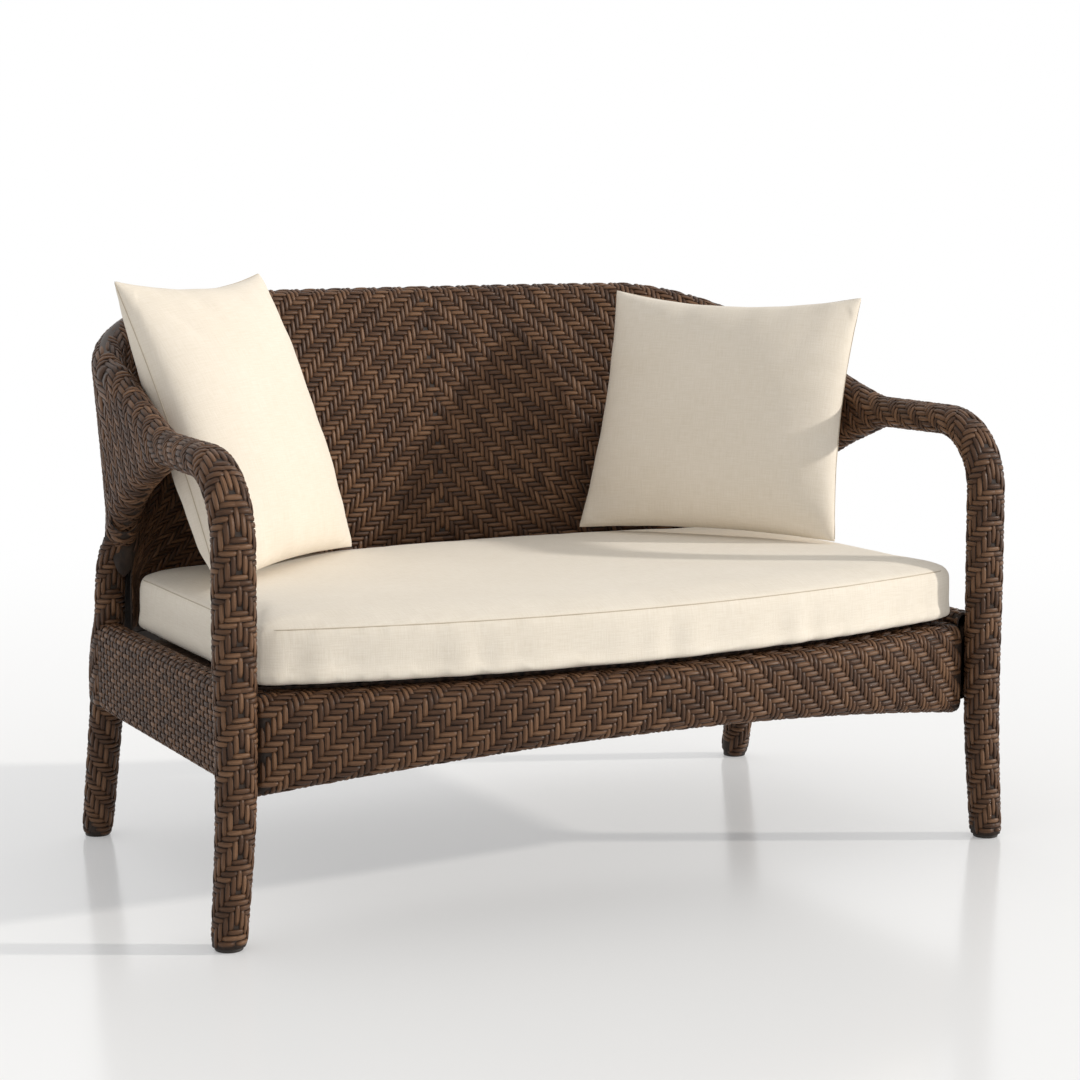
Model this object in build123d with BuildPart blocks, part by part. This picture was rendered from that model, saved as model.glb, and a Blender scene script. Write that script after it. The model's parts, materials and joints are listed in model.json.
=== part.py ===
from build123d import *
import math
import os

# Patio loveseat: a welded tube frame under woven resin strand, with a seat cushion and two pillows.
# Millimetres, +Z up, the front faces -Y, and the origin is on the ground under the object's middle.

# Places in plan, those in depth measured back from the front legs
front_leg_y = -346.5
seat_run = 660             # to the face of the back, at the middle of its bow
side_mid = 640             # half width to the middle of the side weave, at the front legs
side_taper_share = 0.042
seat_bow_radius = 1875     # bow of the back at the seat
rim_bow_radius = 2600      # bow of the back at its rim
front_bulge = 88           # from the front legs forward to the middle of the front apron
foot_spread = 653          # half the distance between the front feet
arm_spread = 637           # half the distance between the arms
rear_foot = (611, 689)
rear_knee = (606, 641)
rear_hip = (597, 585)
rear_shoulder = (574, 592)
rear_head = (572, 646)
wing_end = 545             # where the wings' weave passes into the back's

# Heights
rear_knee_level = 225
rear_hip_level = 450
rear_shoulder_level = 545
rear_head_level = 762
seat_level = 440
recline_level = 480
corner_level = 540
rim_level = 846            # middle of the rim over the back
arm_level = 669            # middle of the arm
deck_top = 349.7
rail_top = 342.9
front_rail_top = 341.3
side_apron_top = 365
side_apron_bottom = 225
front_apron_top = 347
front_apron_foot = 205     # bottom of the front apron at its ends
front_arch = 50            # rise of the front apron's arch
recline = 75               # how far the rim stands behind the seat's face

# Woven shell
shell = 46
skin = 3.5
clearance = 0.3
weld_gap = 0.4
overrun = 60
corner_low = 34            # inner corner radius of the back at the seat
corner_high = 122          # the same from corner_level up
rim_radius = 23
edge_drop = 21.6           # from the rim's middle down to the edge of the weave below it
shell_levels = (500, 560, 640, 720, 800, 885)
inner_foot_level = 346
flare_levels = (225, 300, 340, 385, 440)
flare_shifts = (55, 53, 42, 22, 0)
flare_corners = (40, 45, 55, 65, 80)

# Rim line: places of its corners behind the front legs, with the radius at each
wing_bend = (282, 350)
wing_sweep = (467, 900)
wing_sweep_level = 724
rim_corner = (611.5, 681, 820)
rim_corner_radius = 185
rim_brow = (425, 723)
rim_brow_radius = 220
rim_bow = (212, 758)
rim_tangent_share = 0.98
rim_start = 262            # where the arm's weave passes into the rim's
rail_start = 545           # where the arm tube is welded to the top rail
arm_bend_radius = 105

# Arm window: its edge behind the front legs, from the arm down to the side apron
window_edge = ((262, 641), (302, 629), (359, 608), (425, 575), (462, 548), (519, 503), (552, 462), (572, 365))

# Legs
arm_width = 60
arm_depth = 42
oval_share = 0.485          # corner radius of an arm's section, as a share of its least width
leg_stations = ((47, 46, 653), (54, 44, 640), (59, 42, 638))
leg_station_levels = (6, 190, 430)
knee_level = 190
knee_spread = 640
rear_leg_top = 224
rear_leg_radius = 25
rear_leg_foot_radius = 23
tube_radius = 12.5
tube_wall = 1.8
glide_radius = 20
glide_rise = 6             # the weave starts this far above the ground
front_tube_rise = 7          # and the tubes this far
rear_tube_rise = 8.9

knee_radius = 400
rim_tip_radius = 1
post_radii = (300, 200, 200)
upright_spread = 290
upright_radius = 9
upright_bend_level = 575
upright_bend_radius = 600
upright_top = 815

# Seat frame
front_rail_half = 604.2
front_rail_middle = -63
front_rail_end = 34
rear_rail_half = 585
rear_rail_middle = 683
rear_rail_end = 611
side_rail_front = (626, 22)
side_rail_rear = (618, 600)
bar_gap = 0.5
deck_bow = 92
glide_edge = 2
rail_size = 22
rail_wall = 2
lower_rod_radius = 6
bar_size = 20
bar_spread = 340
deck_thickness = 6.5
deck_side = 590
deck_front = -20
deck_back = 574
apron_thickness = 50
apron_corner = 20
front_apron_end = 604
side_apron_start = 27
side_apron_end = wing_end - clearance
side_apron_thickness = 38
side_apron_outer = (645, 637)

side_apron_corner = 17
front_apron_shares = (-1, -0.75, -0.5, -0.25, 0, 0.25, 0.5, 0.75, 1)

# Cushion: shares of its thickness, each with how far its outline draws in there
cushion_levels = ((0, 14), (0.08, 4), (0.3, 0), (0.6, 0), (0.85, 3), (0.93, 20), (0.98, 70), (1, 170))
cushion_front_corner = 30
foam_gap = 0.6
zip_end = 8
slider_corner = 2
cushion_side = 606
cushion_draw = 12          # how much narrower the cushion is at its back
cushion_front = 81
cushion_rear = 655
cushion_bottom = deck_top + clearance
cushion_crown = 456
cushion_corner = 46
cushion_wall = 3
zip_half = 450
zip_width = 14
zip_inset = 130
zip_tape = 1
slider_size = (12, 9, 1.2)

# Pillows: bottom and top corners, at the outer and the inner end, behind the front legs
pillow_half_thickness = 70
pillow_wall_share = 0.03
pillow_gap_share = 0.01
pillow_draw = 15
pillow_room = 9             # from the back and the wings
pillow_rim_room = 20
pillow_foot = 453
left_pillow_corners = ((-560, 258, 454), (-206, 568, 454), (-322, 672, 906), (-627, 508, 905))
right_pillow_corners = ((520, 240, 454), (228, 600, 454), (322, 634, 866), (640, 345, 858))
pillow_levels = ((0, 1, 1), (0.34, 0.93, 0.4), (0.66, 0.82, -0.4), (0.88, 0.64, -0.8), (1, 0.4, -1))

os.makedirs("parts", exist_ok=True)


def back(run):
    """Y of a place this far behind the front legs."""
    return front_leg_y + run


def save(part, name):
    part.label = name
    export_step(part, "parts/" + name + ".step")


def rise_share(z):
    return max((z - recline_level) / (rim_level - recline_level), 0)


def bow_radius(z):
    return seat_bow_radius + (rim_bow_radius - seat_bow_radius) * min(rise_share(z), 1)


def lean(z):
    return recline * rise_share(z) ** 1.5


def inner_corner(z):
    share = min(max((z - seat_level) / (corner_level - seat_level), 0), 1)
    return corner_low + (corner_high - corner_low) * share


def side_x(y, offset):
    """Half width of the shell at y, with the offset counted outwards from its inner face."""
    return side_mid - shell / 2 + offset - side_taper_share * (y - front_leg_y)


def shell_plan(z, offset, shift=0, corner=None):
    """Closed plan of the back and wings at height z, grown outwards from the inner face by offset."""
    radius = bow_radius(z) + offset
    centre = back(seat_run) - bow_radius(z) + lean(z) + shift
    y = back(seat_run)
    for _ in range(5):
        y = centre + math.sqrt(radius ** 2 - side_x(y, offset) ** 2)
    x = side_x(y, offset)
    front_x = side_x(front_leg_y, offset)
    with BuildSketch(Plane.XY.offset(z)) as plan:
        with BuildLine():
            Polyline((-x, y), (-front_x, front_leg_y), (front_x, front_leg_y), (x, y))
            ThreePointArc((x, y), (0, centre + radius), (-x, y))
        make_face()
        fillet(plan.vertices().group_by(Axis.Y)[-1], corner or inner_corner(z) + offset)
    return plan.sketch


def inner_block(offset, foot):
    """Solid inside the shell's plan, from foot up past the rim."""
    with BuildPart(mode=Mode.PRIVATE) as block:
        loft([shell_plan(z, offset) for z in (foot, seat_level) + shell_levels])
    return block.part


def outer_block(offset):
    """The same for the outer face, which runs back behind the seat to cover the rear legs."""
    low = [
        shell_plan(z, offset, shift, corner + offset - shell)
        for z, shift, corner in zip(flare_levels, flare_shifts, flare_corners)
    ]
    with BuildPart(mode=Mode.PRIVATE) as block:
        loft(low + [shell_plan(z, offset) for z in shell_levels])
    return block.part


def rim_line_x(run):
    """Half width to the middle of the rim over a wing."""
    return rim_corner[0] + side_taper_share * (rim_corner[1] - run)


def rim_points(side):
    """Corners of the rim line from the arm to the middle of the back, with their radii."""
    points = [
        (side * rim_line_x(wing_bend[0]), back(wing_bend[0]), arm_level),
        (side * rim_line_x(wing_sweep[0]), back(wing_sweep[0]), wing_sweep_level),
        (side * rim_corner[0], back(rim_corner[1]), rim_corner[2]),
        (side * rim_brow[0], back(rim_brow[1]), rim_level),
        (side * rim_bow[0], back(rim_bow[1]), rim_level),
    ]
    bow = rim_bow_radius * rim_tangent_share
    return points, [wing_bend[1], wing_sweep[1], rim_corner_radius, rim_brow_radius, bow]


def oval(plane, width, depth):
    """Section of an arm's weave on plane."""
    with BuildSketch(plane) as section:
        RectangleRounded(width, depth, min(width, depth) * oval_share)
    return section.sketch


def arm_block(side, inset):
    """A front leg, the bend above it and the arm as far as the wing, drawn in by inset."""
    x = side * arm_spread
    bend_level = arm_level - arm_bend_radius
    width = arm_width - 2 * inset
    depth = arm_depth - 2 * inset
    size = 2 * (rim_radius - inset)
    leg = [
        oval(Plane(origin=(side * spread, front_leg_y, level)), wide - 2 * inset, deep - 2 * inset)
        for (wide, deep, spread), level in zip(leg_stations, leg_station_levels)
    ]
    leg.append(oval(Plane(origin=(x, front_leg_y, bend_level)), width, depth))
    elbow = Plane(origin=(x, back(arm_bend_radius), arm_level), x_dir=(1, 0, 0), z_dir=(0, 1, 0))
    tip_x = side * rim_line_x(rim_start)
    tip = Plane(origin=(tip_x, back(rim_start), arm_level), x_dir=(1, 0, 0), z_dir=(0, 1, 0))
    arm = [oval(elbow, width, depth), oval(tip, size, size)]
    with BuildPart(mode=Mode.PRIVATE) as block:
        loft(leg, ruled=True)
        bend_axis = Axis((0, back(arm_bend_radius), bend_level), (-1, 0, 0))
        revolve(leg[-1], axis=bend_axis, revolution_arc=90)
        loft(arm, ruled=True)
    return block.part


def tube(points, radii, radius, wall):
    """Round tube along straight runs joined by arcs."""
    with BuildPart() as pipe:
        with BuildLine() as route:
            FilletPolyline(*points, radius=radii)
        with BuildSketch(Plane(origin=route.line @ 0, z_dir=route.line % 0)):
            Circle(radius)
            if wall:
                Circle(radius - wall, mode=Mode.SUBTRACT)
        sweep(path=route.line)
    return pipe.part


def bowed_bar(half, middle_y, end_y, level, size, wall):
    """Square tube across the frame, bowed so that its middle and its ends have their own depth."""
    with BuildPart() as bar:
        with BuildLine(Plane.XY.offset(level)) as route:
            ThreePointArc((-half, back(end_y)), (0, back(middle_y)), (half, back(end_y)))
        with BuildSketch(Plane(origin=route.line @ 0, x_dir=(0, 0, 1), z_dir=route.line % 0)):
            Rectangle(size, size)
            Rectangle(size - 2 * wall, size - 2 * wall, mode=Mode.SUBTRACT)
        sweep(path=route.line)
    return bar.part


def box_between(low, high):
    """Block given by its lowest and highest corners."""
    size = [b - a for a, b in zip(low, high)]
    middle = [(a + b) / 2 for a, b in zip(low, high)]
    with BuildPart(Plane(origin=middle)) as block:
        Box(*size)
    return block.part


# Tubes of the frame
for side, name in ((-1, "left"), (1, "right")):
    points, radii = rim_points(side)
    climb = (Vector(*points[2]) - Vector(*points[1])).normalized()
    weld = Vector(*points[1]) + climb * (rail_start - wing_sweep[0]) / climb.Y
    arm_points = [
        (side * foot_spread, front_leg_y, front_tube_rise),
        (side * knee_spread, front_leg_y, knee_level),
        (side * arm_spread, front_leg_y, arm_level),
        points[0],
        points[1],
        weld - climb * weld_gap / 2,
    ]
    arm_radii = [knee_radius, arm_bend_radius, radii[0], wing_sweep[1]]
    save(tube(arm_points, arm_radii, tube_radius, tube_wall), name + "_arm_tube")
    post_points = [
        (side * place[0], back(place[1]), level)
        for place, level in (
            (rear_foot, rear_tube_rise),
            (rear_knee, rear_knee_level),
            (rear_hip, rear_hip_level),
            (rear_shoulder, rear_shoulder_level),
            (rear_head, rear_head_level),
        )
    ]
    save(tube(post_points, post_radii, tube_radius, tube_wall), name + "_rear_post_tube")

left, radii = rim_points(-1)
right, _ = rim_points(1)
climb = (Vector(*right[2]) - Vector(*right[1])).normalized()
weld = Vector(*right[1]) + climb * ((rail_start - wing_sweep[0]) / climb.Y) + climb * weld_gap / 2
rail_points = [(-weld.X, weld.Y, weld.Z)] + left[2:] + right[2:][::-1] + [(weld.X, weld.Y, weld.Z)]
rail_radii = radii[2:] + radii[2:][::-1]
save(tube(rail_points, rail_radii, tube_radius, tube_wall), "top_rail_tube")

for place, name in ((-upright_spread, "left"), (0, "middle"), (upright_spread, "right")):
    y = back(seat_run + shell / 2) - place ** 2 / (2 * seat_bow_radius)
    head_y = back(seat_run + shell / 2) + lean(upright_top) - place ** 2 / (2 * rim_bow_radius)
    upright = [
        (place, y, rail_top + clearance),
        (place, y, upright_bend_level),
        (place, head_y, upright_top),
    ]
    save(tube(upright, [upright_bend_radius], upright_radius, tube_wall), name + "_back_upright")

# Seat frame
rail_level = rail_top - rail_size / 2
front_level = front_rail_top - rail_size / 2
front_rail = bowed_bar(front_rail_half, front_rail_middle, front_rail_end, front_level, rail_size, rail_wall)
save(front_rail, "seat_front_rail")
rear_rail = bowed_bar(rear_rail_half, rear_rail_middle, rear_rail_end, rail_level, rail_size, rail_wall)
save(rear_rail, "seat_rear_rail")
for side, name in ((-1, "left"), (1, "right")):
    with BuildPart() as side_rail:
        for size, mode in ((rail_size, Mode.ADD), (rail_size - 2 * rail_wall, Mode.SUBTRACT)):
            for x, y in (side_rail_front, side_rail_rear):
                with BuildSketch(Plane(origin=(side * x, back(y), rail_level), x_dir=(1, 0, 0), z_dir=(0, 1, 0))):
                    Rectangle(size, size)
            loft(mode=mode)
    save(side_rail.part, name + "_seat_rail")


def bow_at(half, middle, end, x):
    """Depth of a bowed bar at x."""
    sag = middle - end
    radius = (half ** 2 + sag ** 2) / (2 * abs(sag))
    rise = radius - math.sqrt(radius ** 2 - x ** 2)
    return middle - math.copysign(rise, sag)


bars = []
for place, name in ((-bar_spread, "left"), (0, "middle"), (bar_spread, "right")):
    edge = abs(place) + bar_size / 2
    front = bow_at(front_rail_half, front_rail_middle, front_rail_end, edge) + rail_size / 2 + bar_gap
    rear = bow_at(rear_rail_half, rear_rail_middle, rear_rail_end, edge) - rail_size / 2 - bar_gap
    low = (place - bar_size / 2, back(front), rail_top - bar_size)
    high = (place + bar_size / 2, back(rear), rail_top)
    with BuildPart() as bar:
        add(box_between(low, high))
        inner_low = (low[0] + rail_wall, low[1] - overrun, low[2] + rail_wall)
        inner_high = (high[0] - rail_wall, high[1] + overrun, high[2] - rail_wall)
        add(box_between(inner_low, inner_high), mode=Mode.SUBTRACT)
    save(bar.part, name + "_seat_cross_bar")
    grown_low = (low[0] - bar_gap, low[1] - overrun, low[2] - bar_gap)
    grown_high = (high[0] + bar_gap, high[1] + overrun, high[2] + bar_gap)
    bars.append(box_between(grown_low, grown_high))

with BuildPart() as deck:
    with BuildSketch(Plane.XY.offset(deck_top - deck_thickness)):
        with BuildLine():
            front_end = deck_front + deck_bow
            rear_end = deck_back - deck_bow
            Line((-deck_side, back(front_end)), (-deck_side, back(rear_end)))
            ThreePointArc((-deck_side, back(rear_end)), (0, back(deck_back)), (deck_side, back(rear_end)))
            Line((deck_side, back(rear_end)), (deck_side, back(front_end)))
            ThreePointArc((deck_side, back(front_end)), (0, back(deck_front)), (-deck_side, back(front_end)))
        make_face()
    extrude(amount=deck_thickness)
save(deck.part, "seat_deck")

# Foot glides
feet = (
    (-foot_spread, front_leg_y, "front_left"),
    (foot_spread, front_leg_y, "front_right"),
    (-rear_foot[0], back(rear_foot[1]), "rear_left"),
    (rear_foot[0], back(rear_foot[1]), "rear_right"),
)
for x, y, name in feet:
    with BuildPart() as glide:
        with BuildSketch(Plane.XY):
            with Locations((x, y)):
                Circle(glide_radius)
        extrude(amount=glide_rise - clearance)
        fillet(glide.edges().group_by(Axis.Z)[0], glide_edge)
    save(glide.part, name + "_glide")

# Woven rim and arms
for side, name in ((-1, "left"), (1, "right")):
    with BuildPart() as arm:
        add(arm_block(side, 0))
        add(arm_block(side, skin), mode=Mode.SUBTRACT)
    save(arm.part, name + "_arm_weave")
    with BuildPart() as leg:
        x, y = rear_foot
        knee_x, knee_y = rear_knee
        for inset, mode in ((0, Mode.ADD), (skin, Mode.SUBTRACT)):
            with BuildSketch(Plane((side * x, back(y), glide_rise))):
                Circle(rear_leg_foot_radius - inset)
            with BuildSketch(Plane((side * knee_x, back(knee_y), rear_leg_top))):
                Circle(rear_leg_radius - inset)
            loft(mode=mode)
    save(leg.part, name + "_rear_leg_weave")

rim_front = back(rim_start) + weld_gap
left_rim = [(left[0][0], rim_front, arm_level)] + left
right_rim = [(right[0][0], rim_front, arm_level)] + right
rim_route = left_rim + right_rim[::-1]
rim_radii = [rim_tip_radius] + radii[1:]
save(tube(rim_route, rim_radii + rim_radii[::-1], rim_radius, skin), "top_rim_weave")

# Woven shell: what lies over the rim's edge or in the arm windows is cut away
rim_cut_points = [
    (front_leg_y, arm_level - edge_drop),
    (back(wing_bend[0]), arm_level - edge_drop),
    (back(wing_sweep[0]), wing_sweep_level - edge_drop),
    (back(rim_corner[1]), rim_corner[2] - edge_drop),
    (back(rim_corner[1]) + overrun, rim_corner[2] + overrun),
]
with BuildPart() as over_wings:
    with BuildSketch(Plane.YZ.offset(-side_mid - overrun)):
        with BuildLine():
            route = FilletPolyline(*rim_cut_points, radius=[wing_bend[1], wing_sweep[1], overrun / 2])
            Polyline(route @ 1, (back(rim_corner[1]) + overrun, rim_level + 2 * overrun),
                     (front_leg_y, rim_level + 2 * overrun), route @ 0)
        make_face()
    extrude(amount=2 * (side_mid + overrun))
with BuildPart() as over_back:
    with BuildSketch(Plane.XZ.offset(-back(seat_run) - 4 * overrun)):
        with BuildLine():
            drop = rim_level - rim_corner[2]
            run = rim_corner[0] - rim_brow[0]
            edge = (side_mid + overrun, rim_level - edge_drop - drop * (side_mid + overrun - rim_brow[0]) / run)
            brow = (rim_brow[0], rim_level - edge_drop)
            route = FilletPolyline(
                (-edge[0], edge[1]), (-brow[0], brow[1]), brow, edge, radius=[rim_brow_radius, rim_brow_radius]
            )
            top = rim_level + 2 * overrun
            Polyline(route @ 1, (edge[0], top), (-edge[0], top), route @ 0)
        make_face()
    extrude(amount=seat_run)


def window_cut(inset):
    """Everything in front of the wings' edge, with that edge moved back by inset."""
    edge = [(back(y) + inset, z + inset) for y, z in window_edge]
    edge[0] = (edge[0][0] - 2 * inset, edge[0][1])
    low = [(edge[-1][0], side_apron_top + clearance), (front_leg_y - overrun, side_apron_top + clearance)]
    high = [(front_leg_y - overrun, rim_level), (edge[0][0], rim_level)]
    with BuildPart() as cut:
        with BuildSketch(Plane.YZ.offset(-side_mid - overrun)):
            with BuildLine():
                Spline(*edge)
                Polyline(edge[-1], *low, *high, edge[0])
            make_face()
        extrude(amount=2 * (side_mid + overrun))
    return cut.part


wide = side_mid + 2 * overrun
tall = rim_level + 3 * overrun
deep = back(seat_run) + 4 * overrun
outer_face = outer_block(shell)
outer_back = outer_block(shell - skin)
inner_back = inner_block(skin, inner_foot_level)
inner_face = inner_block(0, inner_foot_level)
window = window_cut(0)
with BuildPart() as outer_skin:
    add(outer_face)
    add(outer_back, mode=Mode.SUBTRACT)
    add(box_between((-wide, -wide, 0), (wide, back(wing_end), tall)), mode=Mode.SUBTRACT)
    add(over_wings.part, mode=Mode.SUBTRACT)
    add(over_back.part, mode=Mode.SUBTRACT)
    add(window, mode=Mode.SUBTRACT)
save(outer_skin.part, "back_outer_weave")
with BuildPart() as inner_skin:
    add(inner_back)
    add(inner_face, mode=Mode.SUBTRACT)
    add(box_between((-wide, -wide, 0), (wide, back(wing_end), tall)), mode=Mode.SUBTRACT)
    add(over_wings.part, mode=Mode.SUBTRACT)
    add(over_back.part, mode=Mode.SUBTRACT)
    add(window, mode=Mode.SUBTRACT)
save(inner_skin.part, "back_inner_weave")
with BuildPart() as wings:
    add(outer_face)
    add(inner_face, mode=Mode.SUBTRACT)
    behind = back(wing_end) - clearance
    add(box_between((-wide, behind, 0), (wide, deep, tall)), mode=Mode.SUBTRACT)
    add(box_between((-wide, -wide, 0), (wide, deep, seat_level)), mode=Mode.SUBTRACT)
    add(window, mode=Mode.SUBTRACT)
    add(over_wings.part, mode=Mode.SUBTRACT)
with BuildPart() as hollow:
    add(outer_back)
    add(inner_back, mode=Mode.SUBTRACT)
    add(window_cut(skin), mode=Mode.SUBTRACT)
for side, name in ((-1, "left"), (1, "right")):
    with BuildPart() as wing:
        add(wings.part)
        add(hollow.part, mode=Mode.SUBTRACT)
        split(bisect_by=Plane.YZ, keep=Keep.TOP if side > 0 else Keep.BOTTOM)
    save(wing.part, name + "_wing_weave")


def front_face(x):
    """Depth of the front apron's face at x, behind the front legs."""
    return x ** 2 / (2 * seat_bow_radius) - front_bulge


def arch(x):
    """Height of the front apron's bottom edge at x."""
    return front_apron_foot + front_arch * (1 - (x / front_apron_end) ** 2)


def front_apron_sections(inset):
    sections = []
    for share in front_apron_shares:
        x = share * front_apron_end
        height = front_apron_top - arch(x)
        middle = (x, back(front_face(x) + apron_thickness / 2), front_apron_top - height / 2)
        with BuildSketch(Plane(origin=middle, x_dir=(0, 1, 0), z_dir=(1, 0, 0))) as section:
            RectangleRounded(apron_thickness - 2 * inset, height - 2 * inset, apron_corner - inset)
        sections.append(section.sketch)
    return sections


# Aprons, each woven round the seat frame and a lower rod
with BuildPart() as front_apron:
    loft(front_apron_sections(0))
    loft(front_apron_sections(skin), mode=Mode.SUBTRACT)
    for bar in bars:
        add(bar, mode=Mode.SUBTRACT)
save(front_apron.part, "front_apron_weave")
rod_inset = skin + lower_rod_radius + clearance
rod_places = [
    (x, back(front_face(x) + apron_thickness / 2), arch(x) + rod_inset)
    for x in (-front_apron_end, 0, front_apron_end)
]
with BuildPart() as rod:
    with BuildLine() as route:
        ThreePointArc(*rod_places)
    with BuildSketch(Plane(origin=route.line @ 0, z_dir=route.line % 0)):
        Circle(lower_rod_radius)
    sweep(path=route.line)
save(rod.part, "front_apron_rod")

for side, name in ((-1, "left"), (1, "right")):
    height = side_apron_top - side_apron_bottom
    middle_level = side_apron_bottom + height / 2
    ends = list(zip(side_apron_outer, (side_apron_start, side_apron_end)))
    with BuildPart() as apron:
        for inset, mode in ((0, Mode.ADD), (skin, Mode.SUBTRACT)):
            for outer, y in ends:
                x = side * (outer - side_apron_thickness / 2)
                with BuildSketch(Plane(origin=(x, back(y), middle_level), x_dir=(1, 0, 0), z_dir=(0, 1, 0))):
                    corner = side_apron_corner - inset
                    RectangleRounded(side_apron_thickness - 2 * inset, height - 2 * inset, corner)
            loft(mode=mode)
    save(apron.part, name + "_apron_weave")
    with BuildPart() as rod:
        for outer, y in ends:
            x = side * (outer - side_apron_thickness / 2)
            with BuildSketch(Plane(origin=(x, back(y), side_apron_bottom + rod_inset), z_dir=(0, 1, 0))):
                Circle(lower_rod_radius)
        loft()
    save(rod.part, name + "_apron_rod")


# Seat cushion
def cushion_plan(z, inset):
    """Plan of the cushion at height z, drawn in by inset."""
    front_x = cushion_side - inset
    rear_x = cushion_side - cushion_draw - inset
    front_y = front_face(front_x) + front_bulge - cushion_front + inset
    rear_y = cushion_rear - rear_x ** 2 / (2 * seat_bow_radius) - inset
    with BuildSketch(Plane.XY.offset(z)) as plan:
        with BuildLine():
            Line((-front_x, back(front_y)), (-rear_x, back(rear_y)))
            ThreePointArc((-rear_x, back(rear_y)), (0, back(cushion_rear - inset)), (rear_x, back(rear_y)))
            Line((rear_x, back(rear_y)), (front_x, back(front_y)))
            ThreePointArc((front_x, back(front_y)), (0, back(inset - cushion_front)), (-front_x, back(front_y)))
        make_face()
        fillet(plan.vertices().group_by(Axis.Y)[-1], cushion_corner - inset / 4)
        fillet(plan.vertices().group_by(Axis.Y)[0], cushion_front_corner - inset / 8)
    return plan.sketch


def cushion_block(wall):
    """The cushion's form, drawn in all round by wall."""
    thickness = cushion_crown - cushion_bottom
    sections = []
    for height_share, inset in cushion_levels:
        z = cushion_bottom + wall + height_share * (thickness - 2 * wall)
        sections.append(cushion_plan(z, inset + wall))
    with BuildPart(mode=Mode.PRIVATE) as block:
        loft(sections, ruled=True)
    return block.part


zip_y = back(cushion_rear - zip_inset)
zip_low = (-zip_half, zip_y - zip_width / 2, cushion_bottom)
zip_high = (zip_half, zip_y + zip_width / 2, cushion_bottom + cushion_wall)
with BuildPart() as cushion_cover:
    add(cushion_block(0))
    add(cushion_block(cushion_wall), mode=Mode.SUBTRACT)
    slot_low = (zip_low[0] - clearance, zip_low[1] - clearance, zip_low[2] - cushion_wall)
    slot_high = (zip_high[0] + clearance, zip_high[1] + clearance, zip_high[2] + cushion_wall)
    add(box_between(slot_low, slot_high), mode=Mode.SUBTRACT)
save(cushion_cover.part, "seat_cushion_cover")
with BuildPart() as cushion_foam:
    add(cushion_block(cushion_wall + foam_gap))
save(cushion_foam.part, "seat_cushion_foam")
with BuildPart() as cushion_zip:
    add(box_between((zip_low[0], zip_low[1], zip_high[2] - zip_tape), zip_high))
save(cushion_zip.part, "seat_cushion_zip")
slider_top = zip_high[2] - zip_tape - clearance
with BuildPart() as slider:
    start = zip_low[0] + zip_end
    slider_low = (start, zip_y - slider_size[1] / 2, slider_top - slider_size[2])
    slider_high = (start + slider_size[0], zip_y + slider_size[1] / 2, slider_top)
    add(box_between(slider_low, slider_high))
    fillet(slider.edges().filter_by(Axis.Z), slider_corner)
save(slider.part, "seat_cushion_zip_slider")


# Pillows
def pillow_part(corners, scale_share):
    """Two crowned halves that meet at the seam, with drawn-in sides, scaled about the middle."""
    places = [Vector(x, back(y), z) for x, y, z in corners]
    middle = (places[0] + places[1] + places[2] + places[3]) * 0.25
    across = (places[1] + places[2] - places[0] - places[3]).normalized()
    up = places[2] + places[3] - places[0] - places[1]
    seam = Plane(origin=middle, x_dir=across, z_dir=across.cross(up))
    flat = [seam.to_local_coords(place) for place in places]
    with BuildPart() as pillow:
        for face in (1, -1):
            for height_share, size_share, draw_share in pillow_levels:
                size = size_share * scale_share
                height = face * height_share * pillow_half_thickness * scale_share
                with BuildSketch(seam.offset(height)):
                    with BuildLine():
                        for index in range(4):
                            start = Vector(flat[index].X, flat[index].Y) * size
                            end = Vector(flat[index - 3].X, flat[index - 3].Y) * size
                            bend = (start + end) * 0.5
                            bend -= bend.normalized() * pillow_draw * draw_share * scale_share
                            ThreePointArc(start, bend, end)
                    make_face()
            loft()
    return pillow.part


# Room that the pillows leave to the seat, the back and the rim that they lean on
with BuildPart() as lean_room:
    add(outer_block(shell + overrun))
    add(inner_block(-pillow_room, inner_foot_level), mode=Mode.SUBTRACT)
    add(over_wings.part, mode=Mode.SUBTRACT)
    add(over_back.part, mode=Mode.SUBTRACT)
    add(cushion_block(-clearance))
    add(box_between((-wide, -wide, 0), (wide, deep, pillow_foot)))
rim_room = tube(rim_route, rim_radii + rim_radii[::-1], rim_radius + pillow_rim_room, 0)
for corners, name in ((left_pillow_corners, "left"), (right_pillow_corners, "right")):
    with BuildPart() as pillow_cover:
        add(pillow_part(corners, 1))
        add(lean_room.part, mode=Mode.SUBTRACT)
        add(rim_room, mode=Mode.SUBTRACT)
        add(pillow_part(corners, 1 - pillow_wall_share), mode=Mode.SUBTRACT)
    save(pillow_cover.part, name + "_pillow_cover")
    with BuildPart() as pillow_insert:
        add(pillow_part(corners, 1 - pillow_wall_share - pillow_gap_share))
        add(lean_room.part, mode=Mode.SUBTRACT)
        add(rim_room, mode=Mode.SUBTRACT)
    save(pillow_insert.part, name + "_pillow_insert")
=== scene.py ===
import json
import math

import bmesh
import bpy
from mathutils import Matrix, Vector
from mathutils.bvhtree import BVHTree


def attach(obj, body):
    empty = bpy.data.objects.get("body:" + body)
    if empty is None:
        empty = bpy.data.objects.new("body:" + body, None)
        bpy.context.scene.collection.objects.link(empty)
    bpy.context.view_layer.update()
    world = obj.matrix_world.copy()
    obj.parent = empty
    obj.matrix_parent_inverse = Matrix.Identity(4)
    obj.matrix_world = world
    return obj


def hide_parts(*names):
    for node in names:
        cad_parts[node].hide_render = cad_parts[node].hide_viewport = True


# Patio loveseat: resin strand woven over the frame, with a seat cushion and two pillows.
# Metres, in the CAD frame: +Z up and the front faces -Y.

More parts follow.
